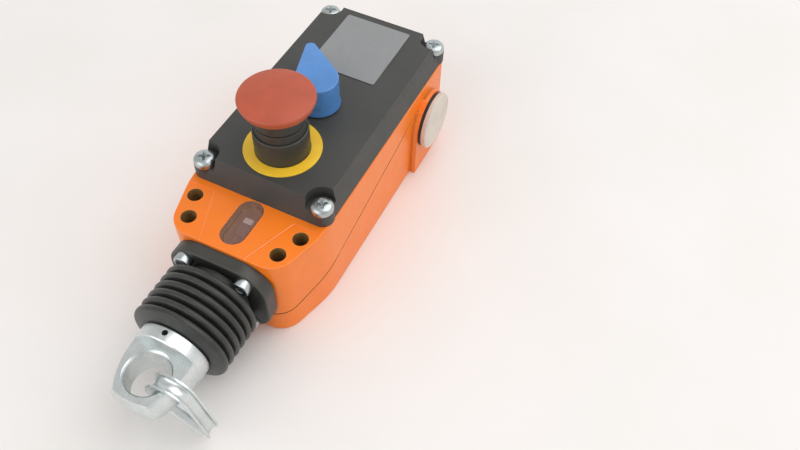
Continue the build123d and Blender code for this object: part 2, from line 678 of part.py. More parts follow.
def guide_bush():
    body = bar(BUSH_RADIUS - RUNNING_CLEARANCE / 2, NOSE_Y, NOSE_Y + BUSH_LENGTH)
    return body - bar(ROD_RADIUS + RUNNING_CLEARANCE, NOSE_Y - 1, NOSE_Y + BUSH_LENGTH + 1)


def pull_rod():
    front = COLLAR_FRONT_Y + ROD_END_WALL
    body = bar(ROD_RADIUS, front, ROD_REAR_Y)
    body = chamfer(body.edges().filter_by(GeomType.CIRCLE), ROD_CHAMFER)
    return body - post(EYE_PIN_RADIUS, AXIS_Z - ROD_RADIUS - 1, AXIS_Z + ROD_RADIUS + 1, 0, EYE_PIN_Y)


def pull_eye():
    """Eye turned from round bar, milled flat above and below, with a cross hole for the rope."""
    half_thickness = EYE_THICKNESS / 2
    shoulder = COLLAR_FRONT_Y - 1
    end_corner = EYE_END_Y + EYE_END_DOME
    bulge = ((EYE_SHOULDER_RADIUS + EYE_END_RADIUS) / 2 + EYE_SIDE_BULGE, (shoulder + end_corner) / 2)
    side = Line((0, COLLAR_BACK_Y - 1), (EYE_SHOULDER_RADIUS, COLLAR_BACK_Y - 1))
    side += Line((EYE_SHOULDER_RADIUS, COLLAR_BACK_Y - 1), (EYE_SHOULDER_RADIUS, shoulder))
    side += ThreePointArc((EYE_SHOULDER_RADIUS, shoulder), bulge, (EYE_END_RADIUS, end_corner))
    dome = (EYE_END_RADIUS / 2, EYE_END_Y + EYE_END_DOME / 4)
    side += ThreePointArc((EYE_END_RADIUS, end_corner), dome, (0, EYE_END_Y))
    side += Line((0, EYE_END_Y), (0, COLLAR_BACK_Y - 1))
    lug = turned_about_rope(make_face(side))
    lug = lug & block(
        -COLLAR_RADIUS, COLLAR_RADIUS, EYE_END_Y - 1, COLLAR_FRONT_Y + 1, AXIS_Z - half_thickness, AXIS_Z + half_thickness
    )
    lug -= post(EYE_HOLE_RADIUS, AXIS_Z - COLLAR_RADIUS, AXIS_Z + COLLAR_RADIUS, 0, EYE_HOLE_Y)
    rims = [
        e for e in lug.edges().filter_by(GeomType.CIRCLE)
        if abs(e.radius - EYE_HOLE_RADIUS) < 0.01 and abs(abs(e.center().Z - AXIS_Z) - half_thickness) < 0.01
    ]
    lug = chamfer(rims, EYE_HOLE_CHAMFER)
    collar = bar(COLLAR_RADIUS, COLLAR_FRONT_Y, COLLAR_BACK_Y)
    collar = chamfer(collar.edges().filter_by(GeomType.CIRCLE), ROD_CHAMFER)
    body = lug + collar + bar(EYE_HUB_RADIUS, COLLAR_BACK_Y - 0.5, COLLAR_BACK_Y + EYE_HUB_LENGTH)
    body -= bar(ROD_RADIUS + RUNNING_CLEARANCE, COLLAR_FRONT_Y + ROD_END_WALL, COLLAR_BACK_Y + EYE_HUB_LENGTH + 1)
    return body - post(EYE_PIN_RADIUS, AXIS_Z - COLLAR_RADIUS - 1, AXIS_Z + COLLAR_RADIUS + 1, 0, EYE_PIN_Y)


def eye_pin():
    reach = COLLAR_RADIUS - EYE_PIN_RECESS
    return post(EYE_PIN_RADIUS - 0.03, AXIS_Z - reach, AXIS_Z + reach, 0, EYE_PIN_Y)


def thimble_section(at):
    """Half-round channel section at a distance from the loop's centre; the groove faces outwards."""
    outside = THIMBLE_WIDTH / 2
    inside = outside - THIMBLE_SHEET
    middle = at + outside
    lip = middle + THIMBLE_LIP
    edge = ThreePointArc((middle, -outside), (at, 0), (middle, outside))
    edge += Line((middle, outside), (lip, outside))
    edge += Line((lip, outside), (lip, inside))
    edge += Line((lip, inside), (middle, inside))
    edge += ThreePointArc((middle, inside), (at + THIMBLE_SHEET, 0), (middle, -inside))
    edge += Line((middle, -inside), (lip, -inside))
    edge += Line((lip, -inside), (lip, -outside))
    edge += Line((lip, -outside), (middle, -outside))
    return make_face(edge)


def thimble():
    """Teardrop channel: a half-round saddle and two legs that meet in a point."""
    section = thimble_section(THIMBLE_SADDLE_RADIUS)
    loop = Rot(0, -THIMBLE_TAPER, 0) * revolve(section, Axis.Y, 180 + 2 * THIMBLE_TAPER)
    right_leg = Rot(0, -THIMBLE_TAPER, 0) * extrude(section, 2 * THIMBLE_LENGTH)
    left_leg = mirror(right_leg, Plane.YZ)
    reach = THIMBLE_LENGTH + THIMBLE_WIDTH
    keep_right = block(THIMBLE_TIP_GAP / 2, reach, -THIMBLE_WIDTH, THIMBLE_WIDTH, 0, THIMBLE_LENGTH)
    keep_left = mirror(keep_right, Plane.YZ)
    body = loop + (right_leg & keep_right) + (left_leg & keep_left)
    return Pos(THIMBLE_X, EYE_HOLE_Y, AXIS_Z) * Rot(0, 180 - THIMBLE_TILT, 0) * body


def indicator():
    """Dark marker under the window, on a leg that is clamped round the rod."""
    back = INDICATOR_FRONT_Y + INDICATOR_LENGTH
    top = HEIGHT - WINDOW_THICKNESS - INDICATOR_TOP_GAP
    half_width = INDICATOR_WIDTH / 2
    leg_half = LEG_SLOT_WIDTH / 2 - INDICATOR_CLEARANCE
    body = block(-half_width, half_width, INDICATOR_FRONT_Y, back, top - INDICATOR_PLATE, top)
    leg_front = back - INDICATOR_LEG
    body += block(-leg_half, leg_half, leg_front, back, AXIS_Z, top - INDICATOR_PLATE / 2)
    ring = bar(ROD_BORE_RADIUS - INDICATOR_CLEARANCE, leg_front, back)
    return body + ring - bar(ROD_RADIUS, leg_front - 1, back + 1)


def indicator_tab():
    """Light half of the marker, behind the dark one."""
    front = INDICATOR_FRONT_Y + INDICATOR_LENGTH
    top = HEIGHT - WINDOW_THICKNESS - INDICATOR_TOP_GAP
    half_width = INDICATOR_WIDTH / 2
    return block(-half_width, half_width, front, front + INDICATOR_TAB_LENGTH, top - INDICATOR_PLATE, top)


def window_lens():
    lens = obround(WINDOW_WIDTH, WINDOW_LENGTH, HEIGHT - WINDOW_THICKNESS, HEIGHT + LENS_RISE)
    rim = lens.faces().sort_by(Axis.Z)[-1]
    return chamfer(rim.edges(), LENS_CHAMFER)


def spring_washer():
    body = bar(RETAINER_RADIUS, FRONT_BLOCK_END_Y, SPRING_FRONT_Y)
    return body - bar(ROD_BORE_RADIUS, FRONT_BLOCK_END_Y - 1, SPRING_FRONT_Y + 1)


def main_spring():
    length = RETAINER_Y - SPRING_FRONT_Y
    upright = coil(SPRING_RADIUS, SPRING_WIRE, SPRING_TURNS, length)
    return Pos(0, RETAINER_Y, AXIS_Z) * Rot(90, 0, 0) * upright


def spring_retainer():
    body = bar(RETAINER_RADIUS, RETAINER_Y, RETAINER_BACK_Y)
    body += bar(SPRING_RADIUS - SPRING_WIRE, RETAINER_Y - RETAINER_NOSE, RETAINER_Y)
    return body - bar(ROD_RADIUS, RETAINER_Y - RETAINER_NOSE - 1, RETAINER_BACK_Y + 1)


def cam_radius(y):
    """Radius of the switching cone where it stands at rest."""
    return CAM_FRONT_RADIUS + (y - CAM_FRONT_Y) * CAM_RISE_PER_MM


def switching_cam():
    back = CAM_FRONT_Y + CAM_LENGTH
    points = [
        (ROD_RADIUS, RETAINER_BACK_Y),
        (CAM_FRONT_RADIUS, RETAINER_BACK_Y),
        (CAM_FRONT_RADIUS, CAM_FRONT_Y),
        (cam_radius(back), back),
        (ROD_RADIUS, back),
    ]
    return turned_about_rope(outline(points))


def rod_nut():
    front = CAM_FRONT_Y + CAM_LENGTH
    hexagon = extrude(RegularPolygon(CAM_NUT_RADIUS, 6), CAM_NUT_LENGTH)
    hexagon = Pos(0, front + CAM_NUT_LENGTH, AXIS_Z) * Rot(90, 0, 0) * hexagon
    return hexagon - bar(ROD_RADIUS, front - 1, front + CAM_NUT_LENGTH + 1)


def plunger_centre():
    """Distance from the rod's axis to the centre of a plunger's round tip."""
    return cam_radius(CONTACT_Y) + (PLUNGER_RADIUS + PLUNGER_GAP) / math.cos(CAM_ANGLE)


def contact_plunger(side):
    tip = plunger_centre()
    body = Pos(side * tip, CONTACT_Y, AXIS_Z) * Sphere(PLUNGER_RADIUS)
    ends = sorted((side * tip, side * (CONTACT_INNER_X + PLUNGER_HOLD)))
    return body + peg(PLUNGER_RADIUS, ends[0], ends[1], CONTACT_Y, AXIS_Z)


def terminal_places(side):
    middle = side * (CONTACT_INNER_X + CONTACT_OUTER_X) / 2
    half_step = TERMINAL_SPACING / 2
    return [
        (middle + across * half_step * TERMINAL_ASPECT, CONTACT_Y + along * half_step)
        for across in (-1, 1)
        for along in (-1, 1)
    ]


def block_screw_places():
    middle = (CONTACT_INNER_X + CONTACT_OUTER_X) / 2
    return [
        (side * middle, CONTACT_Y + end * BLOCK_SCREW_SPACING / 2)
        for side in (-1, 1)
        for end in (-1, 1)
    ]


def guide_screw_places():
    y = GUIDE_Y + GUIDE_THICKNESS + (GUIDE_FOOT_LENGTH - GUIDE_THICKNESS) / 2
    return [(side * (GUIDE_HALF_WIDTH - GUIDE_SCREW_EDGE), y) for side in (-1, 1)]


def contact_block(side):
    ends = sorted((side * CONTACT_INNER_X, side * CONTACT_OUTER_X))
    front = CONTACT_Y - CONTACT_LENGTH / 2
    back = CONTACT_Y + CONTACT_LENGTH / 2
    top = CONTACT_TOP_Z
    body = block(ends[0], ends[1], front, back, FLOOR, top)
    body = chamfer(body.edges().filter_by(Axis.Z), CONTACT_CHAMFER)
    plunger_travel = PULL_TRAVEL * CAM_RISE_PER_MM
    bore_end = side * (CONTACT_INNER_X + PLUNGER_HOLD + plunger_travel + PLUNGER_END_GAP)
    bore = sorted((side * (CONTACT_INNER_X - 1), bore_end))
    body -= peg(PLUNGER_RADIUS + RUNNING_CLEARANCE, bore[0], bore[1], CONTACT_Y, AXIS_Z)
    for x, y in terminal_places(side):
        body -= post(TERMINAL_SHANK_RADIUS + THREAD_FIT, top - TERMINAL_DEPTH - FIT_CLEARANCE, top + 1, x, y)
    for x, y in block_screw_places():
        if x * side > 0:
            body -= post(BLOCK_SCREW_RADIUS + BLOCK_HOLE_CLEARANCE, FLOOR - 1, top + 1, x, y)
            body -= post(BLOCK_SCREW_HEAD_RADIUS + BLOCK_HEAD_CLEARANCE, top - BLOCK_SCREW_HEAD, top + 1, x, y)
    return body


def terminal_screws():
    half_slot = TERMINAL_SLOT_WIDTH / 2
    slot_floor = TERMINAL_HEAD - TERMINAL_SLOT_DEPTH
    head = post(TERMINAL_RADIUS, 0, TERMINAL_HEAD)
    slot = block(-TERMINAL_RADIUS, TERMINAL_RADIUS, -half_slot, half_slot, slot_floor, TERMINAL_HEAD + 1)
    screw = head - slot + post(TERMINAL_SHANK_RADIUS, -TERMINAL_DEPTH, 0)
    places = terminal_places(-1) + terminal_places(1)
    return [Pos(x, y, CONTACT_TOP_Z) * Rot(0, 0, TERMINAL_TURN * i) * screw for i, (x, y) in enumerate(places)]


def block_screws():
    """Screws that hold the contact blocks and the rod guide to the floor."""
    seats = [(x, y, CONTACT_TOP_Z - BLOCK_SCREW_HEAD) for x, y in block_screw_places()]
    seats += [(x, y, FLOOR + GUIDE_FOOT_HEIGHT) for x, y in guide_screw_places()]
    screws = []
    for x, y, seat in seats:
        head = post(BLOCK_SCREW_HEAD_RADIUS, seat, seat + BLOCK_SCREW_HEAD, x, y)
        screws.append(head + post(BLOCK_SCREW_RADIUS - THREAD_FIT, FLOOR - BLOCK_SCREW_BITE, seat, x, y))
    return screws


def rear_guide():
    """Bracket that carries the rod's rear end."""
    back = GUIDE_Y + GUIDE_THICKNESS
    body = block(-GUIDE_HALF_WIDTH, GUIDE_HALF_WIDTH, GUIDE_Y, back, FLOOR, AXIS_Z + GUIDE_CROWN)
    body = fillet([e for e in body.edges().filter_by(Axis.Y) if e.center().Z > AXIS_Z], GUIDE_CORNER)
    body += block(
        -GUIDE_HALF_WIDTH, GUIDE_HALF_WIDTH, GUIDE_Y, GUIDE_Y + GUIDE_FOOT_LENGTH, FLOOR, FLOOR + GUIDE_FOOT_HEIGHT
    )
    body -= bar(ROD_RADIUS + RUNNING_CLEARANCE, GUIDE_Y - 1, back + 1)
    for x, y in guide_screw_places():
        body -= post(BLOCK_SCREW_RADIUS + BLOCK_HOLE_CLEARANCE, FLOOR - 1, FLOOR + GUIDE_FOOT_HEIGHT + 1, x, y)
    return body


def estop_button():
    """Red mushroom with a hollow hub over its return spring."""
    rim = MUSHROOM_RIM_Z
    edge = MUSHROOM_RADIUS - MUSHROOM_ROUNDING
    under = MUSHROOM_UNDERSIDE_Z
    skirt = MUSHROOM_SKIRT_RADIUS - MUSHROOM_SKIRT_EDGE
    turn = 0.7 * MUSHROOM_ROUNDING
    profile = Line((0, STEM_TOP_Z), (0, MUSHROOM_TOP_Z))
    dome = (MUSHROOM_DOME_X, MUSHROOM_TOP_Z - MUSHROOM_DOME_DROP)
    profile += ThreePointArc((0, MUSHROOM_TOP_Z), dome, (edge, rim))
    middle = (edge + turn, rim - MUSHROOM_ROUNDING + turn)
    profile += ThreePointArc((edge, rim), middle, (MUSHROOM_RADIUS, rim - MUSHROOM_ROUNDING))
    profile += Polyline(
        (MUSHROOM_RADIUS, rim - MUSHROOM_ROUNDING),
        (MUSHROOM_SKIRT_RADIUS, under + MUSHROOM_SKIRT_EDGE),
        (skirt, under),
        (BUTTON_HUB_RADIUS, under),
        (BUTTON_HUB_RADIUS, HUB_BOTTOM_Z),
        (HUB_INSIDE_RADIUS, HUB_BOTTOM_Z),
        (HUB_INSIDE_RADIUS, STEM_TOP_Z),
        (0, STEM_TOP_Z),
    )
    return turned_upright(make_face(profile), 0, BUTTON_Y)


def estop_sleeve():
    """Black sleeve round the hub, in two rings with a fine red gap between them."""
    lower = post(SLEEVE_RADIUS, HUB_BOTTOM_Z, SLEEVE_SPLIT_Z - SLEEVE_SPLIT / 2, 0, BUTTON_Y)
    upper = post(SLEEVE_RADIUS, SLEEVE_SPLIT_Z + SLEEVE_SPLIT / 2, MUSHROOM_UNDERSIDE_Z, 0, BUTTON_Y)
    hub = post(BUTTON_HUB_RADIUS, HEIGHT, MUSHROOM_TOP_Z, 0, BUTTON_Y)
    return [lower - hub, upper - hub]


def estop_stem():
    body = post(STEM_RADIUS, STEM_BOTTOM_Z, STEM_TOP_Z, 0, BUTTON_Y)
    return chamfer(body.edges().group_by(Axis.Z)[0], STEM_CHAMFER)


def estop_collar():
    """Fixed collar: a cup on the cover and a neck through it."""
    cup = post(BUTTON_COLLAR_RADIUS, COVER_TOP_Z, BUTTON_COLLAR_TOP_Z, 0, BUTTON_Y)
    cup = chamfer(cup.edges().group_by(Axis.Z)[-1], BUTTON_COLLAR_EDGE)
    inside = BUTTON_COLLAR_FLOOR_Z
    cup -= post(SLEEVE_RADIUS + RUNNING_CLEARANCE, inside, BUTTON_COLLAR_TOP_Z + 1, 0, BUTTON_Y)
    neck = post(BUTTON_NECK_RADIUS, BUTTON_NECK_BOTTOM_Z, COVER_TOP_Z, 0, BUTTON_Y)
    return cup + neck - post(STEM_RADIUS + RUNNING_CLEARANCE, BUTTON_NECK_BOTTOM_Z - 1, inside + 1, 0, BUTTON_Y)


def estop_nut():
    plan = RegularPolygon(BUTTON_NUT_RADIUS, 6)
    body = Pos(0, BUTTON_Y, COVER_INSIDE_Z - BUTTON_NUT_HEIGHT) * extrude(plan, BUTTON_NUT_HEIGHT)
    return body - post(BUTTON_NECK_RADIUS, BUTTON_NECK_BOTTOM_Z, COVER_TOP_Z, 0, BUTTON_Y)


def estop_ring():
    body = post(RING_OUTER_RADIUS, COVER_TOP_Z, COVER_TOP_Z + RING_THICKNESS, 0, BUTTON_Y)
    return body - post(BUTTON_COLLAR_RADIUS + FIT_CLEARANCE, HEIGHT, COVER_TOP_Z + 1, 0, BUTTON_Y)


def estop_spring():
    length = STEM_TOP_Z - BUTTON_COLLAR_FLOOR_Z
    radius = (STEM_RADIUS + HUB_INSIDE_RADIUS) / 2
    return Pos(0, BUTTON_Y, BUTTON_COLLAR_FLOOR_Z) * coil(radius, BUTTON_SPRING_WIRE, BUTTON_SPRING_TURNS, length)


def stem_ring():
    top = BUTTON_NECK_BOTTOM_Z
    body = post(STEM_RING_RADIUS, top - STEM_RING_THICKNESS, top, 0, BUTTON_Y)
    return body - post(STEM_RADIUS, STEM_BOTTOM_Z, top + 1, 0, BUTTON_Y)


def knob_plan(radius, tip):
    """Teardrop: a round body drawn out to a rounded pointer."""
    return make_hull(Circle(radius).edges() + (Pos(0, KNOB_REACH - KNOB_TIP_RADIUS) * Circle(tip)).edges())


def reset_knob():
    """Round knob on a flared foot, drawn out to a pointer whose top slopes down to its tip."""
    bottom = COVER_TOP_Z + KNOB_GAP
    round_part = post(KNOB_RADIUS, bottom + KNOB_FOOT_HEIGHT, KNOB_TOP_Z)
    foot = Pos(0, 0, bottom) * Cone(
        KNOB_FOOT_RADIUS, KNOB_RADIUS, KNOB_FOOT_HEIGHT, align=(Align.CENTER, Align.CENTER, Align.MIN)
    )
    pointer_top = KNOB_TOP_Z - KNOB_POINTER_STEP
    plan = knob_plan(KNOB_RADIUS - KNOB_POINTER_INSET, KNOB_TIP_RADIUS)
    pointer = extrude(Pos(0, 0, bottom) * plan, pointer_top - bottom)
    slope = math.degrees(math.atan(KNOB_TIP_DROP / (KNOB_REACH - KNOB_RADIUS)))
    above = block(-WIDTH, WIDTH, 0, WIDTH, 0, WIDTH)
    pointer -= Pos(0, KNOB_RADIUS, pointer_top) * Rot(-slope, 0, 0) * above
    round_part = fillet(round_part.edges().group_by(Axis.Z)[-1], KNOB_ROUNDING)
    body = round_part + foot + pointer
    body -= post(SHAFT_RADIUS, bottom - 1, bottom + SHAFT_SOCKET)
    return Pos(0, KNOB_Y, 0) * Rot(0, 0, KNOB_ANGLE) * body


def knob_shaft():
    body = post(SHAFT_RADIUS, SHAFT_BOTTOM_Z, COVER_TOP_Z + KNOB_GAP + SHAFT_SOCKET)
    return Pos(0, KNOB_Y, 0) * body


def knob_bush():
    top = COVER_TOP_Z
    body = post(KNOB_BUSH_RADIUS, COVER_INSIDE_Z - KNOB_BUSH_SEAT, top, 0, KNOB_Y)
    body += post(KNOB_BUSH_FLANGE, COVER_INSIDE_Z - KNOB_BUSH_FLANGE_HEIGHT, COVER_INSIDE_Z, 0, KNOB_Y)
    return body - post(SHAFT_RADIUS + RUNNING_CLEARANCE, HEIGHT, top + 1, 0, KNOB_Y)


def knob_seal():
    """Seal ring round the bush's upper end, under the knob."""
    body = post(KNOB_BUSH_RADIUS + 2 * SEAL_RADIUS, COVER_TOP_Z, COVER_TOP_Z + KNOB_GAP - SOFT_GAP, 0, KNOB_Y)
    return body - post(KNOB_BUSH_RADIUS, HEIGHT, COVER_TOP_Z + 1, 0, KNOB_Y)


def knob_ring():
    top = COVER_INSIDE_Z - KNOB_BUSH_FLANGE_HEIGHT - KNOB_RING_GAP
    body = post(KNOB_RING_RADIUS, top - KNOB_RING_THICKNESS, top, 0, KNOB_Y)
    return body - post(SHAFT_RADIUS, SHAFT_BOTTOM_Z, top + 1, 0, KNOB_Y)


def reset_cam():
    """Cam on the shaft's lower end that lifts the latch when the knob is turned."""
    lobe = Pos(RESET_CAM_LOBE - RESET_CAM_TIP, 0) * Circle(RESET_CAM_TIP)
    plan = make_hull(Circle(RESET_CAM_RADIUS).edges() + lobe.edges())
    body = extrude(plan, RESET_CAM_THICKNESS) - post(SHAFT_RADIUS, -1, RESET_CAM_THICKNESS + 1)
    return Pos(0, KNOB_Y, SHAFT_BOTTOM_Z) * Rot(0, 0, KNOB_ANGLE) * body


def label_plate():
    half = PLATE_WIDTH / 2
    front = PLATE_REAR_Y - PLATE_LENGTH
    return rounded_slab(-half, half, front, PLATE_REAR_Y, COVER_TOP_Z, COVER_TOP_Z + PLATE_THICKNESS, PLATE_CORNER)


def cable_plug():
    """Blanking plug in the right-hand cable entry."""
    seat = ENTRY_FACE_X + PLUG_GASKET_THICKNESS
    head = peg(PLUG_HEAD_RADIUS, seat, seat + PLUG_HEAD_THICKNESS, ENTRY_Y, ENTRY_Z)
    head = fillet(head.edges().group_by(Axis.X)[-1], PLUG_ROUNDING)
    inner = seat - PLUG_LENGTH
    shank = peg(ENTRY_RADIUS - PLUG_SHANK_CLEARANCE, inner, seat, ENTRY_Y, ENTRY_Z)
    hollow = peg(ENTRY_RADIUS - PLUG_SHANK_CLEARANCE - PLUG_WALL, inner - 1, seat - PLUG_CROWN, ENTRY_Y, ENTRY_Z)
    return head + shank - hollow


def plug_gasket():
    seat = ENTRY_FACE_X
    body = peg(PLUG_GASKET_RADIUS, seat, seat + PLUG_GASKET_THICKNESS, ENTRY_Y, ENTRY_Z)
    return body - peg(ENTRY_RADIUS, seat - 1, seat + PLUG_GASKET_THICKNESS + 1, ENTRY_Y, ENTRY_Z)


def earth_clamp():
    seat = FLOOR + EARTH_PILLAR_HEIGHT
    side = EARTH_CLAMP_SIDE / 2
    body = block(EARTH_X - side, EARTH_X + side, EARTH_Y - side, EARTH_Y + side, seat, seat + EARTH_CLAMP_THICKNESS)
    return body - post(EARTH_SCREW_RADIUS + FIT_CLEARANCE, seat - 1, seat + EARTH_CLAMP_THICKNESS + 1, EARTH_X, EARTH_Y)


def earth_screw():
    seat = FLOOR + EARTH_PILLAR_HEIGHT + EARTH_CLAMP_THICKNESS
    depth = EARTH_PILLAR_HEIGHT + EARTH_CLAMP_THICKNESS - EARTH_SCREW_GAP
    screw = pan_screw(EARTH_SCREW_RADIUS - THREAD_FIT, depth, EARTH_HEAD_RADIUS, EARTH_HEAD_HEIGHT)
    return Pos(EARTH_X, EARTH_Y, seat) * screw


PIECES = {
    "housing": housing,
    "cover": cover,
    "cover_gasket": lambda: cover_gasket_band(0.0),
    "cover_screws": cover_screws,
    "label_plate": label_plate,
    "window_lens": window_lens,
    "bellows_flange": bellows_flange,
    "flange_screws": flange_screws,
    "bellows": bellows,
    "guide_bush": guide_bush,
    "pull_rod": pull_rod,
    "pull_eye": pull_eye,
    "eye_pin": eye_pin,
    "thimble": thimble,
    "indicator": indicator,
    "indicator_tab": indicator_tab,
    "spring_washer": spring_washer,
    "main_spring": main_spring,
    "spring_retainer": spring_retainer,
    "switching_cam": switching_cam,
    "rod_nut": rod_nut,
    "rear_guide": rear_guide,
    "contact_block_left": lambda: contact_block(-1),
    "contact_block_right": lambda: contact_block(1),
    "contact_plunger_left": lambda: contact_plunger(-1),
    "contact_plunger_right": lambda: contact_plunger(1),
    "terminal_screws": terminal_screws,
    "block_screws": block_screws,
    "estop_button": estop_button,
    "estop_sleeve": estop_sleeve,
    "estop_stem": estop_stem,
    "estop_collar": estop_collar,
    "estop_nut": estop_nut,
    "estop_ring": estop_ring,
    "estop_spring": estop_spring,
    "stem_ring": stem_ring,
    "reset_knob": reset_knob,
    "knob_shaft": knob_shaft,
    "knob_bush": knob_bush,
    "knob_seal": knob_seal,
    "knob_ring": knob_ring,
    "reset_cam": reset_cam,
    "cable_plug": cable_plug,
    "plug_gasket": plug_gasket,
    "earth_clamp": earth_clamp,
    "earth_screw": earth_screw,
}

for name, make in PIECES.items():
    shape = make()
    solids = shape if isinstance(shape, list) else [shape]
    whole = Compound(children=[solid for one in solids for solid in one.solids()])
    export_step(whole, os.path.join("parts", name + ".step"))
    print(name, len(whole.solids()), round(whole.volume, 1))
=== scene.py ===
"""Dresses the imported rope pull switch: finishes, moulded and turned forms, a pale floor and a soft studio."""

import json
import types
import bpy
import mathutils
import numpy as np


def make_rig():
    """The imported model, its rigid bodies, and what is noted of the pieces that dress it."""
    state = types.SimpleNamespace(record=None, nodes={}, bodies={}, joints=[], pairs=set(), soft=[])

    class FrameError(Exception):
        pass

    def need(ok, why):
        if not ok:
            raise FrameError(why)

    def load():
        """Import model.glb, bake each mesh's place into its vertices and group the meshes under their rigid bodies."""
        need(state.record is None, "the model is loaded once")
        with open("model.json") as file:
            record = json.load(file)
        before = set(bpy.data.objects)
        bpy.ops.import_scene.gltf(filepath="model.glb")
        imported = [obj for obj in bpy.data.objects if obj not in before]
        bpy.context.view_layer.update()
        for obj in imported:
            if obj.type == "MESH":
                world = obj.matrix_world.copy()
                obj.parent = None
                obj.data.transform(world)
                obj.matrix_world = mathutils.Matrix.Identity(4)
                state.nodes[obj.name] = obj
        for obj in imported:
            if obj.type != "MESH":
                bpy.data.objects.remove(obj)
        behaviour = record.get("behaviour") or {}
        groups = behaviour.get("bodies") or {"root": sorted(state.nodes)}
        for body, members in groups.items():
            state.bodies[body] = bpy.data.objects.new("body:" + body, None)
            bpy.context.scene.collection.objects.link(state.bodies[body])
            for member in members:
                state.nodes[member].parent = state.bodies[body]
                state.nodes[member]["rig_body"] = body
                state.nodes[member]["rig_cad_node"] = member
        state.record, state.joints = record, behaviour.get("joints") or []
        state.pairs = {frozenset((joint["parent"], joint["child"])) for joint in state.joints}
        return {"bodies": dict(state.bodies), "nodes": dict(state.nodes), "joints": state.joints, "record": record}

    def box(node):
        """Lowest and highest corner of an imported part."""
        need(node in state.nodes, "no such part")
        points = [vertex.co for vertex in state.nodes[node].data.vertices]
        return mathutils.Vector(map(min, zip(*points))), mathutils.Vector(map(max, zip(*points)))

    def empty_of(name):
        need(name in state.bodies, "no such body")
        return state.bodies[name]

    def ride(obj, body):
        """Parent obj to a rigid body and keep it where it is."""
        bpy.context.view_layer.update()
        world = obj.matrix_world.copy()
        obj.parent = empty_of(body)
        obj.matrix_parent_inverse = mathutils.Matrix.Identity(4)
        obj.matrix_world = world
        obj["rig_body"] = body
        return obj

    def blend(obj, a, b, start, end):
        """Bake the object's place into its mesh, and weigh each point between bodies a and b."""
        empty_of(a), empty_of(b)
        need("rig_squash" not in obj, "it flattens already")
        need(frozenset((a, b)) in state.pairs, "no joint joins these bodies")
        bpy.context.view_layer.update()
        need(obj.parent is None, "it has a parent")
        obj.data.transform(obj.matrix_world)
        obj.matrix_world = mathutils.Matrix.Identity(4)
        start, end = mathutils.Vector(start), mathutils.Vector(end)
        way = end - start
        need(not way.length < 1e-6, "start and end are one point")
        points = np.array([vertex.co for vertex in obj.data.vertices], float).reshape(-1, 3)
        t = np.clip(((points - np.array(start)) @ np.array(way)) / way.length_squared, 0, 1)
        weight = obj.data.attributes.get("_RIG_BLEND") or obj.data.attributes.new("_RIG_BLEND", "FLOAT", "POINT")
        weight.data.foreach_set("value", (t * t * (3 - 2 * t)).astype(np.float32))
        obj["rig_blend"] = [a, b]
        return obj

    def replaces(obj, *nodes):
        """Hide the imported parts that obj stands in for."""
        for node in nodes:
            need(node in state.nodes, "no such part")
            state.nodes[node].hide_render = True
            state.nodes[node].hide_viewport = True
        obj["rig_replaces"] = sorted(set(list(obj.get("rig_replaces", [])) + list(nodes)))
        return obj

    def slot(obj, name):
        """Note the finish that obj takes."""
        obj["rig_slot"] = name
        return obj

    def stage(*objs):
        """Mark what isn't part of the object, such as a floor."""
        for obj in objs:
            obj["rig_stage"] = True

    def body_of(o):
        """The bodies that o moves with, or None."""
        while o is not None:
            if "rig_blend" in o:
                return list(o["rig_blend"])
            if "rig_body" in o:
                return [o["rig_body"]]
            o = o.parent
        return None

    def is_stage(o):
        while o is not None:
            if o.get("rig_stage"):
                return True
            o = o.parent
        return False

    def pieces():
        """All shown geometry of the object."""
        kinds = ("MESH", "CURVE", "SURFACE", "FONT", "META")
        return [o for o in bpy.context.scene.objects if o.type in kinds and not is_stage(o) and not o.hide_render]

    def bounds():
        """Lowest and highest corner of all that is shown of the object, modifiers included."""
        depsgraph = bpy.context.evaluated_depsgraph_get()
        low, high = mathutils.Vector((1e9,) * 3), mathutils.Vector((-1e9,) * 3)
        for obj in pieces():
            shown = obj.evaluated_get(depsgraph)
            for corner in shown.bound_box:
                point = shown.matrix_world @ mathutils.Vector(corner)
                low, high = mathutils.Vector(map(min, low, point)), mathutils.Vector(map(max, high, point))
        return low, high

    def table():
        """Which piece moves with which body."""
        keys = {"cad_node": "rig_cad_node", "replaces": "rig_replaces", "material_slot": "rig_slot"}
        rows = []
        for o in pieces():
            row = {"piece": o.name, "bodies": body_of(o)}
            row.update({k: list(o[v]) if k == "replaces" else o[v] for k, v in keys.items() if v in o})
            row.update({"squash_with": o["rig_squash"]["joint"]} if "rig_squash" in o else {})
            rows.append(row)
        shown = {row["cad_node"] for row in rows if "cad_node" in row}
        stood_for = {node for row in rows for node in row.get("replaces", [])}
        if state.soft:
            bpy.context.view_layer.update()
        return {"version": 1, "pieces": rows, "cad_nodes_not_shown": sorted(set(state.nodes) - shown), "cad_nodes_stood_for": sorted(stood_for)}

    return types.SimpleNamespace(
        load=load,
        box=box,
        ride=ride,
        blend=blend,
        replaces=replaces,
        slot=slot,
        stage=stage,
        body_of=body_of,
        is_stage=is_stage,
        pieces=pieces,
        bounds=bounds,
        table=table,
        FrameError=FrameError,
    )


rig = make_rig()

bl_info = {
    "name": "Rope Pull Switch",
    "version": (1, 0, 0),
    "blender": (4, 5, 0),
    "location": "View3D > Sidebar > Switch",
    "description": "Builds the visible pieces of a rope pull switch round its packed CAD model",
    "category": "Object",
}

import json
import math
from contextlib import contextmanager

import bmesh
import bpy
from mathutils import Matrix, Vector

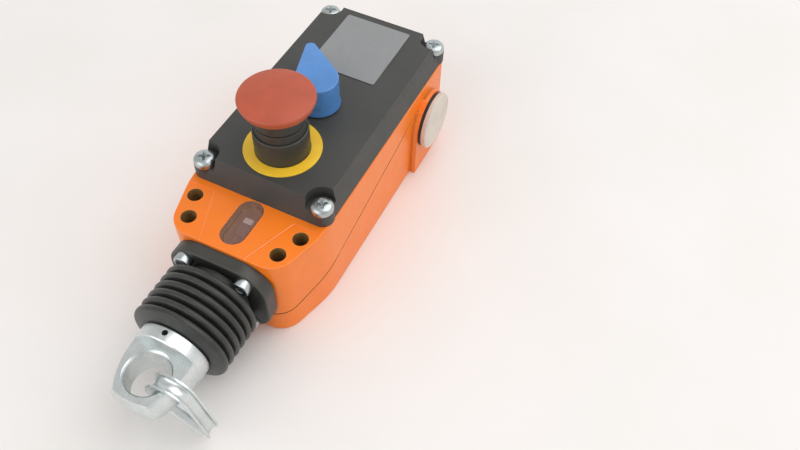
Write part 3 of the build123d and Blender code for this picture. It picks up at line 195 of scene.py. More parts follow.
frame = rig.load()
CAD_BOX = [list(corner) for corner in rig.bounds()]
SIZE_FILE = "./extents.json"
MM = 0.001
MERGE_DISTANCE = 0.002 * MM
COLOUR_A = 6
COLOUR_B = 7
COLOUR_OUT = 2
FLAT_ANGLE = 0.4
SHARP_ANGLE = 32
SMOOTH_ANGLE = 38
METAL_ANGLE = 40
SCREW_SHARP = 30
PLACE_DIGITS = 4
THIMBLE_SHARP = 50
FACE_WEIGHT = 100
SLOTS = {part["node"]: part["material_slot"] for part in frame["record"]["subparts"]}


def islands(node):
    """Box of each separate solid of a CAD node, as (lowest, highest) corners."""
    mesh = bmesh.new()
    mesh.from_mesh(frame["nodes"][node].data)
    bmesh.ops.remove_doubles(mesh, verts=mesh.verts, dist=MERGE_DISTANCE)
    left = set(mesh.verts)
    boxes = []
    while left:
        found = [left.pop()]
        group = []
        while found:
            vert = found.pop()
            group.append(vert.co.copy())
            for edge in vert.link_edges:
                other = edge.other_vert(vert)
                if other in left:
                    left.remove(other)
                    found.append(other)
        low = Vector(min(co[axis] for co in group) for axis in range(3))
        high = Vector(max(co[axis] for co in group) for axis in range(3))
        boxes.append((low, high))
    mesh.free()
    return sorted(boxes, key=lambda pair: [round(length, PLACE_DIGITS) for length in pair[0]])


def pivot(name):
    """Point that a joint turns about."""
    joints = frame["record"]["behaviour"]["joints"]
    return Vector(next(joint["pos_m"] for joint in joints if joint["name"] == name))


def linear(code):
    """Linear colour of an sRGB hex value."""
    channels = [int(code[i : i + 2], 16) / 255 for i in (1, 3, 5)]
    return tuple(c / 12.92 if c <= 0.04045 else ((c + 0.055) / 1.055) ** 2.4 for c in channels)


def add(tree, kind, settings=(), inputs=()):
    """Adds a node with its settings; an input is a value, a socket, or a node whose first output is taken."""
    made = tree.nodes.new(kind)
    for name, value in dict(settings).items():
        setattr(made, name, value)
    for name, value in dict(inputs).items():
        if isinstance(value, bpy.types.Node):
            value = value.outputs[0]
        if isinstance(value, bpy.types.NodeSocket):
            tree.links.new(value, made.inputs[name])
        else:
            made.inputs[name].default_value = value
    return made


def material(name):
    """An empty node material with its tree and its Object coordinates."""
    made = bpy.data.materials.new(name)
    made.use_nodes = True
    tree = made.node_tree
    tree.nodes.clear()
    return made, tree, add(tree, "ShaderNodeTexCoord").outputs["Object"]


def coated(made, inputs):
    """Ends a material with its shader."""
    shader = add(made.node_tree, "ShaderNodeBsdfPrincipled", inputs=inputs)
    add(made.node_tree, "ShaderNodeOutputMaterial", inputs={"Surface": shader})
    return made


def grain(size):
    """Noise scale whose spots are about that many millimetres across, on Object coordinates in metres."""
    return 1 / (size * MM)


def clouded(tree, place, size, low, high, detail=2.0, start=0.35, end=0.65):
    """Colour that drifts from low to high in soft spots of that size."""
    noise = add(tree, "ShaderNodeTexNoise", inputs={"Vector": place, "Scale": grain(size), "Detail": detail})
    ramp = add(tree, "ShaderNodeValToRGB", inputs={"Fac": noise})
    for stop, position, colour in zip(ramp.color_ramp.elements, (start, end), (low, high)):
        stop.position = position
        stop.color = (*colour, 1)
    return ramp


def uneven(tree, place, size, low, high, detail=2.0):
    """Roughness that drifts from low to high in spots of that size."""
    noise = add(tree, "ShaderNodeTexNoise", inputs={"Vector": place, "Scale": grain(size), "Detail": detail})
    span = {"From Min": 0.3, "From Max": 0.7, "To Min": low, "To Max": high}
    return add(tree, "ShaderNodeMapRange", inputs={"Value": noise, **span})


def grained(tree, place, size, depth, detail=2.0, roughness=0.5):
    """Relief of that depth in millimetres from a grain of that size."""
    spots = {"Scale": grain(size), "Detail": detail, "Roughness": roughness}
    noise = add(tree, "ShaderNodeTexNoise", inputs={"Vector": place, **spots})
    return add(tree, "ShaderNodeBump", inputs={"Height": noise, "Strength": 1.0, "Distance": depth * MM})


def shade(colour, factor):
    """The same colour, lighter or darker."""
    return tuple(min(1.0, channel * factor) for channel in colour)


def edge_wear_and_highlight(tree, body, edge_colour, share):
    """The colour with its rounded edges lighter: partly wear from handling, partly a painted highlight where the edges
    catch the light.
    """
    rim = add(tree, "ShaderNodeAttribute", {"attribute_name": "rim", "attribute_type": "GEOMETRY"})
    times = {"operation": "MULTIPLY", "use_clamp": True}
    amount = add(tree, "ShaderNodeMath", times, {0: rim.outputs["Fac"], 1: share})
    parts = {"Factor": amount, COLOUR_A: body, COLOUR_B: (*edge_colour, 1)}
    return add(tree, "ShaderNodeMix", {"data_type": "RGBA"}, parts).outputs[COLOUR_OUT]


def powder_enamel(name, colour):
    """Polyester powder enamel, sprayed and baked: a lively colour under a shallow orange peel."""
    made, tree, place = material(name)
    body = clouded(tree, place, 9.0, shade(colour, 0.97), shade(colour, 1.02))
    look = {
        # Painted highlight: this pale colour on the rounded faces is a glint, full on the land edges and faint on the
        # other edges.
        "Base Color": edge_wear_and_highlight(tree, body, linear("#FFDCC0"), 1.0),
        "Roughness": uneven(tree, place, 3.0, 0.28, 0.36),
        "Normal": grained(tree, place, 1.3, 0.022, detail=1.0),
    }
    return coated(made, look)


def satin_enamel(name, colour):
    """Fine-textured powder coat on the cover: dark and satin, its grain drawn coarse enough to show."""
    made, tree, place = material(name)
    body = clouded(tree, place, 14.0, shade(colour, 0.94), shade(colour, 1.06))
    look = {
        # Rounded edges lighter: partly wear, partly painted highlight.
        "Base Color": edge_wear_and_highlight(tree, body, shade(colour, 1.7), 0.6),
        "Roughness": uneven(tree, place, 3.0, 0.44, 0.52),
        "Normal": grained(tree, place, 0.5, 0.02, roughness=0.6),
    }
    return coated(made, look)


def cast_alloy(name, colour):
    """Aluminium casting inside the holes and the box: dull, its warm dark brown partly bare metal and partly painted
    shade of the deep enamel walls.
    """
    made, tree, place = material(name)
    look = {
        "Base Color": clouded(tree, place, 2.2, shade(colour, 0.75), shade(colour, 1.1), detail=3.0),
        "Metallic": 0.2,
        "Roughness": uneven(tree, place, 2.2, 0.5, 0.65, detail=3.0),
        "Normal": grained(tree, place, 0.3, 0.02),
    }
    return coated(made, look)


def moulded_plastic(name, colour, roughness=0.4, edge=1.5):
    """Injection-moulded thermoplastic: an even colour, its spark-eroded grain drawn coarse enough to show."""
    made, tree, place = material(name)
    body = clouded(tree, place, 6.0, shade(colour, 0.95), shade(colour, 1.05))
    look = {
        # Rounded edges lighter: partly wear, partly painted highlight.
        "Base Color": edge_wear_and_highlight(tree, body, shade(colour, edge), 0.6),
        "Roughness": uneven(tree, place, 1.6, roughness - 0.05, roughness + 0.05),
        "Normal": grained(tree, place, 0.25, 0.012),
    }
    return coated(made, look)


def moulded_rubber(name, colour):
    """Moulded nitrile rubber: near black, softly sheened, with a bloom of grey in soft random spots."""
    made, tree, place = material(name)
    look = {
        "Base Color": clouded(tree, place, 4.0, shade(colour, 0.8), shade(colour, 1.5), 4.0, 0.4, 0.75),
        "Roughness": uneven(tree, place, 4.0, 0.34, 0.5, detail=4.0),
        "Normal": grained(tree, place, 0.6, 0.015),
        "Sheen Weight": 0.06,
        "Sheen Roughness": 0.5,
    }
    return coated(made, look)


def plated_metal(name, colour, roughness):
    """Zinc-plated metal: bright and slightly milky, its fine rub marks drawn wide enough to show."""
    made, tree, place = material(name)
    along = {"Vector": place, "Scale": (1.0, 0.12, 1.0), "Rotation": (0.4, 0.2, 0.7)}
    rubbed = add(tree, "ShaderNodeMapping", inputs=along)
    look = {
        "Base Color": clouded(tree, place, 3.5, shade(colour, 0.9), shade(colour, 1.03), 4.0, 0.3, 0.7),
        "Metallic": 1.0,
        "Roughness": uneven(tree, rubbed, 0.25, roughness * 0.8, roughness * 1.3, detail=3.0),
        "Normal": grained(tree, rubbed, 0.25, 0.004, detail=3.0),
    }
    return coated(made, look)


def polycarbonate(name, colour):
    """Smoke-tinted polycarbonate window: glossy, with the faintest scratches."""
    made, tree, place = material(name)
    look = {
        "Base Color": (*colour, 1),
        "IOR": 1.585,
        "Alpha": 0.22,
        "Roughness": uneven(tree, place, 0.8, 0.02, 0.07, detail=3.0),
    }
    return coated(made, look)


def printed_plate(name, colour):
    """Matt anodised aluminium plate, blank, its lengthwise brushing drawn coarse enough to show."""
    made, tree, place = material(name)
    brushed = add(tree, "ShaderNodeMapping", inputs={"Vector": place, "Scale": (1.0, 0.04, 1.0)})
    look = {
        "Base Color": clouded(tree, brushed, 0.3, shade(colour, 0.93), shade(colour, 1.05)),
        "Metallic": 0.35,
        "Roughness": uneven(tree, brushed, 0.3, 0.46, 0.56),
        "Normal": grained(tree, brushed, 0.3, 0.004),
    }
    return coated(made, look)


def white_laminate(name):
    """White laminated table top: matt, with the faintest warm clouds."""
    made, tree, place = material(name)
    body = clouded(tree, place, 60.0, linear("#F3F0ED"), linear("#F6F3F1"), detail=3.0)
    return coated(made, {"Base Color": body, "Roughness": 0.6})


def length_property(label, about, millimetres):
    """A length that a user may change."""
    return bpy.props.FloatProperty(name=label, description=about, default=millimetres * MM, unit="LENGTH")


def colour_property(label, about, code):
    """A colour that a user may change."""
    return bpy.props.FloatVectorProperty(
        name=label, description=about, default=linear(code), subtype="COLOR", size=3, min=0.0, max=1.0
    )


class SwitchSizes(bpy.types.PropertyGroup):
    """Sizes that change the look of the switch."""

    edge_round: length_property("Edge rounding", "Radius on the moulded and cast edges", 0.35)
    fine_round: length_property("Fine rounding", "Radius on the edges of small metal pieces", 0.12)
    folds: bpy.props.IntProperty(name="Folds", description="Folds of the rubber gaiter", default=6, min=1)
    fold_pitch: length_property("Fold pitch", "Distance from one fold to the next", 3.34)
    fold_depth: length_property("Fold depth", "Height of a fold over the valley beside it", 3.3)
    crest_round: length_property("Crest rounding", "Radius of a fold's outer edge", 1.14)
    valley_round: length_property("Valley rounding", "Radius between two folds", 0.5)
    rubber_wall: length_property("Rubber wall", "Thickness of the gaiter's rubber", 0.75)
    thimble_radius: length_property("Thimble radius", "Inner radius of the thimble's saddle", 5.95)
    thimble_length: length_property("Thimble length", "From the saddle's centre to the tip", 19.5)
    thimble_width: length_property("Thimble width", "Over the thimble's two lips", 5.4)
    thimble_groove: length_property("Thimble groove", "Depth of the channel for the rope", 1.9)
    thimble_sheet: length_property("Thimble sheet", "Thickness of the thimble's metal", 0.8)
    thimble_tilt: bpy.props.FloatProperty(
        name="Thimble lean",
        description="How far the thimble hangs from upright",
        default=math.radians(33),
        subtype="ANGLE",
    )
    pointer_reach: length_property("Pointer reach", "Length that the knob's pointer gains", 1.5)


class SwitchColours(bpy.types.PropertyGroup):
    """Colours of the finishes."""

    enamel: colour_property("Enamel", "Housing", "#FF821C")
    cover: colour_property("Cover", "Cover of the housing", "#40403E")
    black: colour_property("Black plastic", "Collar, sleeve and flange", "#393935")
    rubber: colour_property("Rubber", "Gaiter and gaskets", "#30322F")
    stop: colour_property("Stop button", "Mushroom button", "#B9553A")
    knob: colour_property("Reset knob", "Knob with its pointer", "#568FD2")
    # Warm dark brown of the recessed walls: partly bare casting, partly painted shade.
    alloy: colour_property("Bare casting", "Walls of the holes and the inside", "#A07C4A")
    ring: colour_property("Ring", "Ring under the stop button", "#FFCC34")
    zinc: colour_property("Zinc", "Plated screws, eye and thimble", "#BDC4C5")


def sizes():
    """The sizes as they stand in the scene."""
    return bpy.context.scene.switch_sizes


def paint(name):
    """A colour as it stands in the scene."""
    return tuple(getattr(bpy.context.scene.switch_colours, name))


FINISHES = {
    "orange_enamel": lambda: powder_enamel("baked_orange_enamel", paint("enamel")),
    "cover_grey": lambda: satin_enamel("satin_charcoal_enamel", paint("cover")),
    "black_plastic": lambda: moulded_plastic("black_polyamide", paint("black"), 0.42),
    "flange_black": lambda: moulded_plastic("black_glass_filled_polyamide", paint("black")),
    "gaiter_rubber": lambda: moulded_rubber("nitrile_rubber", paint("rubber")),
    "seal_rubber": lambda: moulded_rubber("seal_rubber", shade(paint("rubber"), 0.6)),
    "red_plastic": lambda: moulded_plastic("red_polycarbonate_blend", paint("stop"), 0.42, edge=1.6),
    "blue_plastic": lambda: moulded_plastic("blue_polyamide", paint("knob"), 0.24),
    "yellow_film": lambda: moulded_plastic("yellow_printed_film", paint("ring")),
    "label_silver": lambda: printed_plate("anodised_plate", linear("#969899")),
    "clear_window": lambda: polycarbonate("clear_polycarbonate", linear("#C8988A")),
    "pale_plastic": lambda: moulded_plastic("natural_acetal", linear("#CFCDC6"), edge=1.1),
    "plug_grey": lambda: moulded_plastic("grey_polystyrene", linear("#DCD2C6"), 0.45, edge=1.15),
    "zinc_steel": lambda: plated_metal("zinc_plated_steel", paint("zinc"), 0.3),
    "bright_zinc": lambda: plated_metal("bright_zinc_plate", linear("#DDE3E3"), 0.3),
    "rod_steel": lambda: plated_metal("ground_steel", linear("#B9BBBE"), 0.2),
    "spring_steel": lambda: plated_metal("spring_steel_wire", linear("#6C6E72"), 0.3),
    "bush_brass": lambda: plated_metal("turned_brass", linear("#C9A55A"), 0.25),
    "blackened_steel": lambda: plated_metal("blackened_steel", linear("#262626"), 0.4),
    "bare_casting": lambda: cast_alloy("oversprayed_casting", paint("alloy")),
}
# The eye's pin is near black so its hole reads dark: partly blackened steel, partly painted shade in the hole.
OTHER_FINISH = {"eye_pin": "blackened_steel"}
MADE = {}


def finish_of(slot):
    """The material of a slot, made once."""
    made = bpy.data.materials.get(MADE.get(slot, ""))
    if made is None:
        made = FINISHES[slot]()
        MADE[slot] = made.name
    return made


def paint_over(piece, finish):
    """Leaves a piece with that one material."""
    piece.data.materials.clear()
    piece.data.materials.append(finish)


def settle(piece, node):
    """Gives a finished piece the node's material slot and body, and hides what it stands for."""
    paint_over(piece, finish_of(SLOTS[node]))
    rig.replaces(piece, node)
    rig.slot(piece, SLOTS[node])
    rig.ride(piece, frame["nodes"][node]["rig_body"])
    return piece


def piece_from(mesh, name):
    """An object for a mesh, in the scene."""
    made = bpy.data.objects.new(name, mesh)
    bpy.context.scene.collection.objects.link(made)
    return made


@contextmanager
def edited(mesh):
    """The mesh with its doubled vertices joined, open to changes that are kept when the block ends."""
    work = bmesh.new()
    work.from_mesh(mesh)
    bmesh.ops.remove_doubles(work, verts=work.verts, dist=MERGE_DISTANCE)
    yield work
    work.to_mesh(mesh)
    work.free()


def smooth(mesh, angle=SMOOTH_ANGLE):
    """Smooth shading that stays crisp over an angle."""
    mesh.polygons.foreach_set("use_smooth", [True] * len(mesh.polygons))
    mesh.set_sharp_from_angle(angle=math.radians(angle))


def soften(work, rim, sharp=SHARP_ANGLE, segments=2):
    """Rounds the sharp outer edges of a form by rim and marks the faces of the rounding."""
    mark = work.faces.layers.float.new("rim")
    least = math.radians(sharp)
    outer = [edge for edge in work.edges if edge.is_manifold and edge.is_convex]
    hard = [edge for edge in outer if edge.calc_face_angle(0) > least]
    rounded = bmesh.ops.bevel(
        work, geom=hard, offset=rim, segments=segments, profile=0.5, affect="EDGES", clamp_overlap=True
    )
    for face in rounded["faces"]:
        face[mark] = 1.0


def dressed(node, rim, segments=2):
    """A copy of a CAD node with its facets joined into faces and its sharp edges rounded by rim."""
    mesh = bpy.data.meshes.new(node + "_form")
    work = bmesh.new()
    work.from_mesh(frame["nodes"][node].data)
    bmesh.ops.remove_doubles(work, verts=work.verts, dist=MERGE_DISTANCE)
    bmesh.ops.dissolve_limit(work, angle_limit=math.radians(FLAT_ANGLE), verts=work.verts, edges=work.edges)
    soften(work, rim, segments=segments)
    work.to_mesh(mesh)
    work.free()
    smooth(mesh)
    piece = piece_from(mesh, node + "_form")
    weighted = piece.modifiers.new("even_normals", "WEIGHTED_NORMAL")
    weighted.keep_sharp = True
    weighted.weight = FACE_WEIGHT
    return settle(piece, node)


def show(*nodes):
    """Keeps CAD nodes as they are, with their finish."""
    for node in nodes:
        paint_over(frame["nodes"][node], finish_of(OTHER_FINISH.get(node, SLOTS[node])))


def stretched(piece, node, child, start, end):
    """Lets a piece stand for a node that rests on the body at start and follows child at end."""
    paint_over(piece, finish_of(SLOTS[node]))
    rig.replaces(piece, node)
    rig.slot(piece, SLOTS[node])
    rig.blend(piece, "body", child, start, end)


def turned(name, profile, axis_point, axis, segments=96):
    """Closed turned form from a closed profile of (radius, distance along the axis) points in metres."""
    work = bmesh.new()
    across = axis.orthogonal().normalized()
    verts = [work.verts.new(axis_point + across * radius + axis * along) for radius, along in profile]
    edges = [work.edges.new((verts[i], verts[(i + 1) % len(verts)])) for i in range(len(verts))]
    whole_turn = {"cent": axis_point, "axis": axis, "angle": 2 * math.pi, "steps": segments}
    bmesh.ops.spin(work, geom=verts + edges, use_merge=True, **whole_turn)
    bmesh.ops.remove_doubles(work, verts=work.verts, dist=MERGE_DISTANCE)
    bmesh.ops.dissolve_degenerate(work, dist=MERGE_DISTANCE, edges=work.edges)
    bmesh.ops.recalc_face_normals(work, faces=work.faces)
    mesh = bpy.data.meshes.new(name)
    work.to_mesh(mesh)
    work.free()
    smooth(mesh)
    return piece_from(mesh, name)


COVER_HEAD = 3.1 * MM
FLANGE_HEAD = 3.0 * MM
SHANK_SHARE = 0.5
KEY_SHARE = 0.5
CAP_CHAMFER = 2
CAP_ROUND = 0.6
SCREW_STEPS = 40
SCREW_SEED = 4
PAN_HEAD = (
    (0.97, 0.0),
    (1.0, 0.06),
    (1.0, 0.42),
    (0.97, 0.6),
    (0.88, 0.78),
    (0.72, 0.91),
    (0.45, 0.98),
    (0.0, 1.0),
)
RECESS_TOP = 1.05
RECESS_FLOOR = 0.35
WING_SIZE = (0.58, 0.13)
TICK_SIZE = (0.34, 0.05)
WING_TAPER = 0.45
THIMBLE_TIP_GAP = 0.2 * MM
THIMBLE_LIP = 0.3 * MM
THIMBLE_SEAT = Vector((-0.2, -1.0, 0.2)) * MM
THIMBLE_STEPS = 48
SECTION_STEPS = 12
FILLET_STEPS = 7
ROUND_STEPS = 96
CUFF_LENGTH = 4.9 * MM
CUFF_RADIUS = 12.2 * MM
CUFF_LIP = 0.2 * MM
NOSE_RADIUS = 13.3 * MM
HUB_RADIUS = 7.3 * MM


GAITER_SUMS = (
    ("corners", "MULTIPLY", "Folds", 4),
    ("points", "ADD", "corners", 1),
    ("is_cuff", "LESS_THAN", "index", 0.5),
    ("before_nose", "SUBTRACT", "corners", 1.5),
    ("is_nose", "GREATER_THAN", "index", "before_nose"),
    ("before_hub", "SUBTRACT", "corners", 0.5),
    ("is_hub", "GREATER_THAN", "index", "before_hub"),
    ("quarter", "DIVIDE", "index", 4),
    ("fold", "FLOOR", "quarter"),
    ("first_corner", "MULTIPLY", "fold", 4),
    ("corner", "SUBTRACT", "index", "first_corner"),
    ("past_valley", "GREATER_THAN", "corner", 0.5),
    ("short_of_valley", "LESS_THAN", "corner", 2.5),
    ("on_crest", "MULTIPLY", "past_valley", "short_of_valley"),
    ("front_side", "GREATER_THAN", "corner", 1.5),
    ("twice_front", "MULTIPLY", "front_side", 2),
    ("sign", "SUBTRACT", "twice_front", 1),
    ("half_crest", "MULTIPLY", "Crest Width", 0.5),
    ("side", "MULTIPLY", "half_crest", "sign"),
    ("middle", "MULTIPLY", "fold", "Pitch"),
    ("along", "ADD", "middle", "side"),
    ("gaps", "SUBTRACT", "Folds", 1),
    ("last_fold", "MULTIPLY", "gaps", "Pitch"),
    ("end", "ADD", "last_fold", "Nose Reach"),
    ("fold_depth", "MULTIPLY", "on_crest", "Depth"),
    ("cuff_depth", "SUBTRACT", "Cuff Radius", "Valley Radius"),
    ("nose_depth", "SUBTRACT", "Nose Radius", "Valley Radius"),
    ("hub_depth", "SUBTRACT", "Hub Radius", "Valley Radius"),
)
GAITER_CHOICES = (
    ("along", "is_nose", "along", "end"),
    ("depth", "is_cuff", "fold_depth", "cuff_depth"),
    ("depth", "is_nose", "depth", "nose_depth"),
    ("depth", "is_hub", "depth", "hub_depth"),
    ("rounding", "on_crest", "Valley Rounding", "Crest Rounding"),
)


def new_tree(name, inputs):
    """A modifier's node tree with its named inputs, and those inputs."""
    tree = bpy.data.node_groups.new(name, "GeometryNodeTree")
    tree.is_modifier = True
    for label, kind in inputs.items():
        tree.interface.new_socket(label, in_out="INPUT", socket_type="NodeSocket" + kind)
    tree.interface.new_socket("Geometry", in_out="OUTPUT", socket_type="NodeSocketGeometry")
    return tree, add(tree, "NodeGroupInput").outputs


def end_tree(tree, geometry, finish):
    """Ends a tree with real geometry in its material."""
    real = add(tree, "GeometryNodeRealizeInstances", inputs={"Geometry": geometry})
    coloured = add(tree, "GeometryNodeSetMaterial", inputs={"Geometry": real, "Material": finish})
    add(tree, "NodeGroupOutput", inputs={"Geometry": coloured})
    return tree


def gaiter_tree():
    """Node tree of the gaiter: a square wave of folds, its corners rounded, turned about the rope's axis."""
    kinds = {"Folds": "Int", "Segments": "Int", "Rubber": "Material"}
    for label in ("Pitch", "Depth", "Crest Width", "Crest Rounding", "Valley Radius", "Valley Rounding"):
        kinds[label] = "Float"
    for label in ("Cuff Radius", "Nose Radius", "Nose Reach", "Hub Radius"):
        kinds[label] = "Float"
    tree, given = new_tree("gaiter_folds", kinds)
    known = {label: given[label] for label in kinds}
    known["index"] = add(tree, "GeometryNodeInputIndex")
    for name, operation, *terms in GAITER_SUMS:
        inputs = {place: known.get(term, term) for place, term in enumerate(terms)}
        known[name] = add(tree, "ShaderNodeMath", {"operation": operation}, inputs)
    for name, test, otherwise, chosen in GAITER_CHOICES:
        inputs = {"Switch": known[test], "False": known[otherwise], "True": known[chosen]}
        known[name] = add(tree, "GeometryNodeSwitch", {"input_type": "FLOAT"}, inputs)
    points = add(tree, "GeometryNodeMeshLine", inputs={"Count": known["points"]})
    spot = add(tree, "ShaderNodeCombineXYZ", inputs={"X": known["depth"], "Y": known["along"]})
    placed = add(tree, "GeometryNodeSetPosition", inputs={"Geometry": points, "Position": spot})
    line = add(tree, "GeometryNodeMeshToCurve", inputs={"Mesh": placed})
    corners = {"Curve": line, "Radius": known["rounding"], "Limit Radius": True, "Count": FILLET_STEPS}
    soft = add(tree, "GeometryNodeFilletCurve", {"mode": "POLY"}, corners)
    round_path = {"Resolution": given["Segments"], "Radius": given["Valley Radius"]}
    ring = add(tree, "GeometryNodeCurvePrimitiveCircle", inputs=round_path)
    swept = add(tree, "GeometryNodeCurveToMesh", inputs={"Curve": ring, "Profile Curve": soft})
    return end_tree(tree, swept, given["Rubber"])


def channel_tree():
    """Node tree that runs a section along a flat path, as sheet is rolled round a former."""
    kinds = {"Geometry": "Geometry", "Section": "Object", "Metal": "Material"}
    tree, given = new_tree("channel_on_path", kinds)
    line = add(tree, "GeometryNodeMeshToCurve", inputs={"Mesh": given["Geometry"]})
    upright = add(tree, "GeometryNodeSetCurveNormal", {"mode": "Z_UP"}, {"Curve": line})
    shape = add(tree, "GeometryNodeObjectInfo", inputs={"Object": given["Section"]})
    edge = add(tree, "GeometryNodeMeshToCurve", inputs={"Mesh": shape.outputs["Geometry"]})
    run = {"Curve": upright, "Profile Curve": edge, "Fill Caps": True}
    return end_tree(tree, add(tree, "GeometryNodeCurveToMesh", inputs=run), given["Metal"])


def line_from(points, name, closed):
    """An object of edges from point to point."""
    mesh = bpy.data.meshes.new(name)
    count = len(points)
    edges = [(i, (i + 1) % count) for i in range(count if closed else count - 1)]
    mesh.from_pydata([(x, y, 0) for x, y in points], edges, [])
    return piece_from(mesh, name)


def thimble():
    """Teardrop of rolled channel: a saddle round the eye's side and two legs that meet in a point."""
    size = sizes()
    saddle = size.thimble_radius
    reach = size.thimble_length
    sheet = size.thimble_sheet
    half = size.thimble_width / 2
    deep = size.thimble_groove
    taper = math.asin(saddle / reach)
    tip = reach - THIMBLE_TIP_GAP / math.tan(taper)
    top = arc((0, 0), saddle, -math.degrees(taper), 180 + math.degrees(taper), THIMBLE_STEPS)
    path = [(THIMBLE_TIP_GAP, -tip), *top, (-THIMBLE_TIP_GAP, -tip)]
    turns = [math.pi * (step / SECTION_STEPS - 0.5) for step in range(SECTION_STEPS + 1)]
    section = [(deep - deep * math.cos(turn), half * math.sin(turn)) for turn in turns]
    section += [(deep + THIMBLE_LIP, half), (deep + THIMBLE_LIP, half - sheet)]
    inside = [(deep - (deep - sheet) * math.cos(turn), (half - sheet) * math.sin(turn)) for turn in turns]
    section += inside[::-1]
    section += [(deep + THIMBLE_LIP, sheet - half), (deep + THIMBLE_LIP, -half)]
    former = line_from(section, "channel_section", True)
    values = {"Section": former, "Metal": finish_of(SLOTS["thimble"])}
    piece = grown(line_from(path, "thimble_path", False), channel_tree(), values, "rope_thimble")
    bpy.data.objects.remove(former)
    lean = size.thimble_tilt
    across = Vector((math.cos(lean), 0, math.sin(lean)))
    up = Vector((-math.sin(lean), 0, math.cos(lean)))
    place = Matrix((across, up, Vector((0, -1, 0)))).transposed().to_4x4()
    with edited(piece.data) as work:
        work.transform(Matrix.Translation(pivot("thimble_swing") + THIMBLE_SEAT) @ place)
        bmesh.ops.recalc_face_normals(work, faces=work.faces)
        soften(work, size.fine_round, THIMBLE_SHARP)
    smooth(piece.data, METAL_ANGLE)
    settle(piece, "thimble")


def screws_tree():
    """Node tree that sets one screw on each point of a cloud, each turned as it was tightened."""
    kinds = {"Geometry": "Geometry", "Screw": "Object", "Axis Turn": "Vector", "Seed": "Int"}
    kinds["Metal"] = "Material"
    tree, given = new_tree("screws_on_points", kinds)
    screw = add(tree, "GeometryNodeObjectInfo", inputs={"Object": given["Screw"]}).outputs["Geometry"]
    turns = {0: (0.0, 0.0, 0.0), 1: (0.0, 0.0, math.pi), "Seed": given["Seed"]}
    turn = add(tree, "FunctionNodeRandomValue", {"data_type": "FLOAT_VECTOR"}, turns)
    seats = {"Points": given["Geometry"], "Instance": screw, "Rotation": given["Axis Turn"]}
    placed = add(tree, "GeometryNodeInstanceOnPoints", inputs=seats)
    spun = add(tree, "GeometryNodeRotateInstances", inputs={"Instances": placed, "Rotation": turn})
    return end_tree(tree, spun, given["Metal"])


def evaluated(piece, name):
    """The mesh of a piece with its modifiers in it."""
    bpy.context.view_layer.update()
    mesh = bpy.data.meshes.new_from_object(piece.evaluated_get(bpy.context.evaluated_depsgraph_get()))
    mesh.name = name
    return mesh


def cut(piece, cutter):
    """Takes one form out of another and removes the cutter."""
    taken = piece.modifiers.new("recess", "BOOLEAN")
    taken.operation = "DIFFERENCE"
    taken.solver = "EXACT"
    taken.object = cutter
    mesh = evaluated(piece, piece.name)
    piece.modifiers.clear()
    piece.data = mesh
    bpy.data.objects.remove(cutter)


def wedge(name, top, half_length, half_width, deep, turn):
    """Tapered bar whose point goes down, for one wing pair of a cross recess."""
    corners = []
    for z, share in ((top, 1.0), (top - deep, WING_TAPER)):
        for x, y in ((-1, -1), (1, -1), (1, 1), (-1, 1)):
            spot = Vector((x * half_length * share, y * half_width * share, z))
            corners.append(Matrix.Rotation(turn, 3, "Z") @ spot)
    faces = [(0, 1, 2, 3), (7, 6, 5, 4), (0, 4, 5, 1), (1, 5, 6, 2), (2, 6, 7, 3), (3, 7, 4, 0)]
    mesh = bpy.data.meshes.new(name)
    mesh.from_pydata(corners, [], faces)
    return piece_from(mesh, name)


def finished_screw(piece, rim):
    """Rounds a screw's edges; it is then only a pattern for the node tree."""
    with edited(piece.data) as work:
        soften(work, rim, SCREW_SHARP)
    smooth(piece.data, METAL_ANGLE)
    return piece


def screw_blank(name, radius, shank, head):
    """Turned blank of a screw, its head's underside at the origin and the head up."""
    thin = radius * SHANK_SHARE
    profile = [(0, -shank), (thin, -shank), (thin, 0), *head]
    return turned(name, profile, Vector((0, 0, 0)), Vector((0, 0, 1)), SCREW_STEPS)


def pan_head_screw(radius, height, shank):
    """Pan-head screw with a Pozidriv recess: a cross of deep wings and a cross of shallow ticks."""
    head = [(across * radius, up * height) for across, up in PAN_HEAD]
    piece = screw_blank("pan_head_screw", radius, shank, head)
    top = height * RECESS_TOP
    deep = top - height * RECESS_FLOOR
    for (reach, width), drop, turns in ((WING_SIZE, deep, (0, 2)), (TICK_SIZE, deep / 2, (1, 3))):
        for turn in turns:
            cut(piece, wedge("recess", top, radius * reach, radius * width, drop, turn * math.pi / 4))
    return finished_screw(piece, sizes().fine_round)


def socket_head_screw(radius, height, shank):
    """Cap screw with a hexagon socket."""
    rim = sizes().fine_round * CAP_CHAMFER
    head = [(radius, 0), (radius, height - rim), (radius - rim, height), (0, height)]
    piece = screw_blank("socket_head_screw", radius, shank, head)
    mesh = bpy.data.meshes.new("key")
    key = bmesh.new()
    place = Matrix.Translation((0, 0, height))
    size = {"radius1": radius * KEY_SHARE, "radius2": radius * KEY_SHARE, "depth": height}
    bmesh.ops.create_cone(key, cap_ends=True, segments=6, matrix=place, **size)
    key.to_mesh(mesh)
    key.free()
    cut(piece, piece_from(mesh, "key"))
    return finished_screw(piece, sizes().fine_round * CAP_ROUND)


def set_screws(node, shape, head, axis, outward, turn):
    """Puts a finished screw where each plain one of a node is; outward is the way its head faces."""
    boxes = islands(node)
    low, high = boxes[0]
    pattern = shape((high.x - low.x) / 2, head, high[axis] - low[axis] - head)
    seats = []
    for low, high in boxes:
        seat = (low + high) / 2
        seat[axis] = (high if outward > 0 else low)[axis] - outward * head
        seats.append(seat)
    mesh = bpy.data.meshes.new(node + "_seats")
    mesh.from_pydata(seats, [], [])
    values = {"Screw": pattern, "Axis Turn": turn, "Seed": SCREW_SEED, "Metal": finish_of(SLOTS[node])}
    piece = grown(piece_from(mesh, node + "_seats"), screws_tree(), values, node + "_form")
    bpy.data.objects.remove(pattern)
    smooth(piece.data, METAL_ANGLE)
    settle(piece, node)


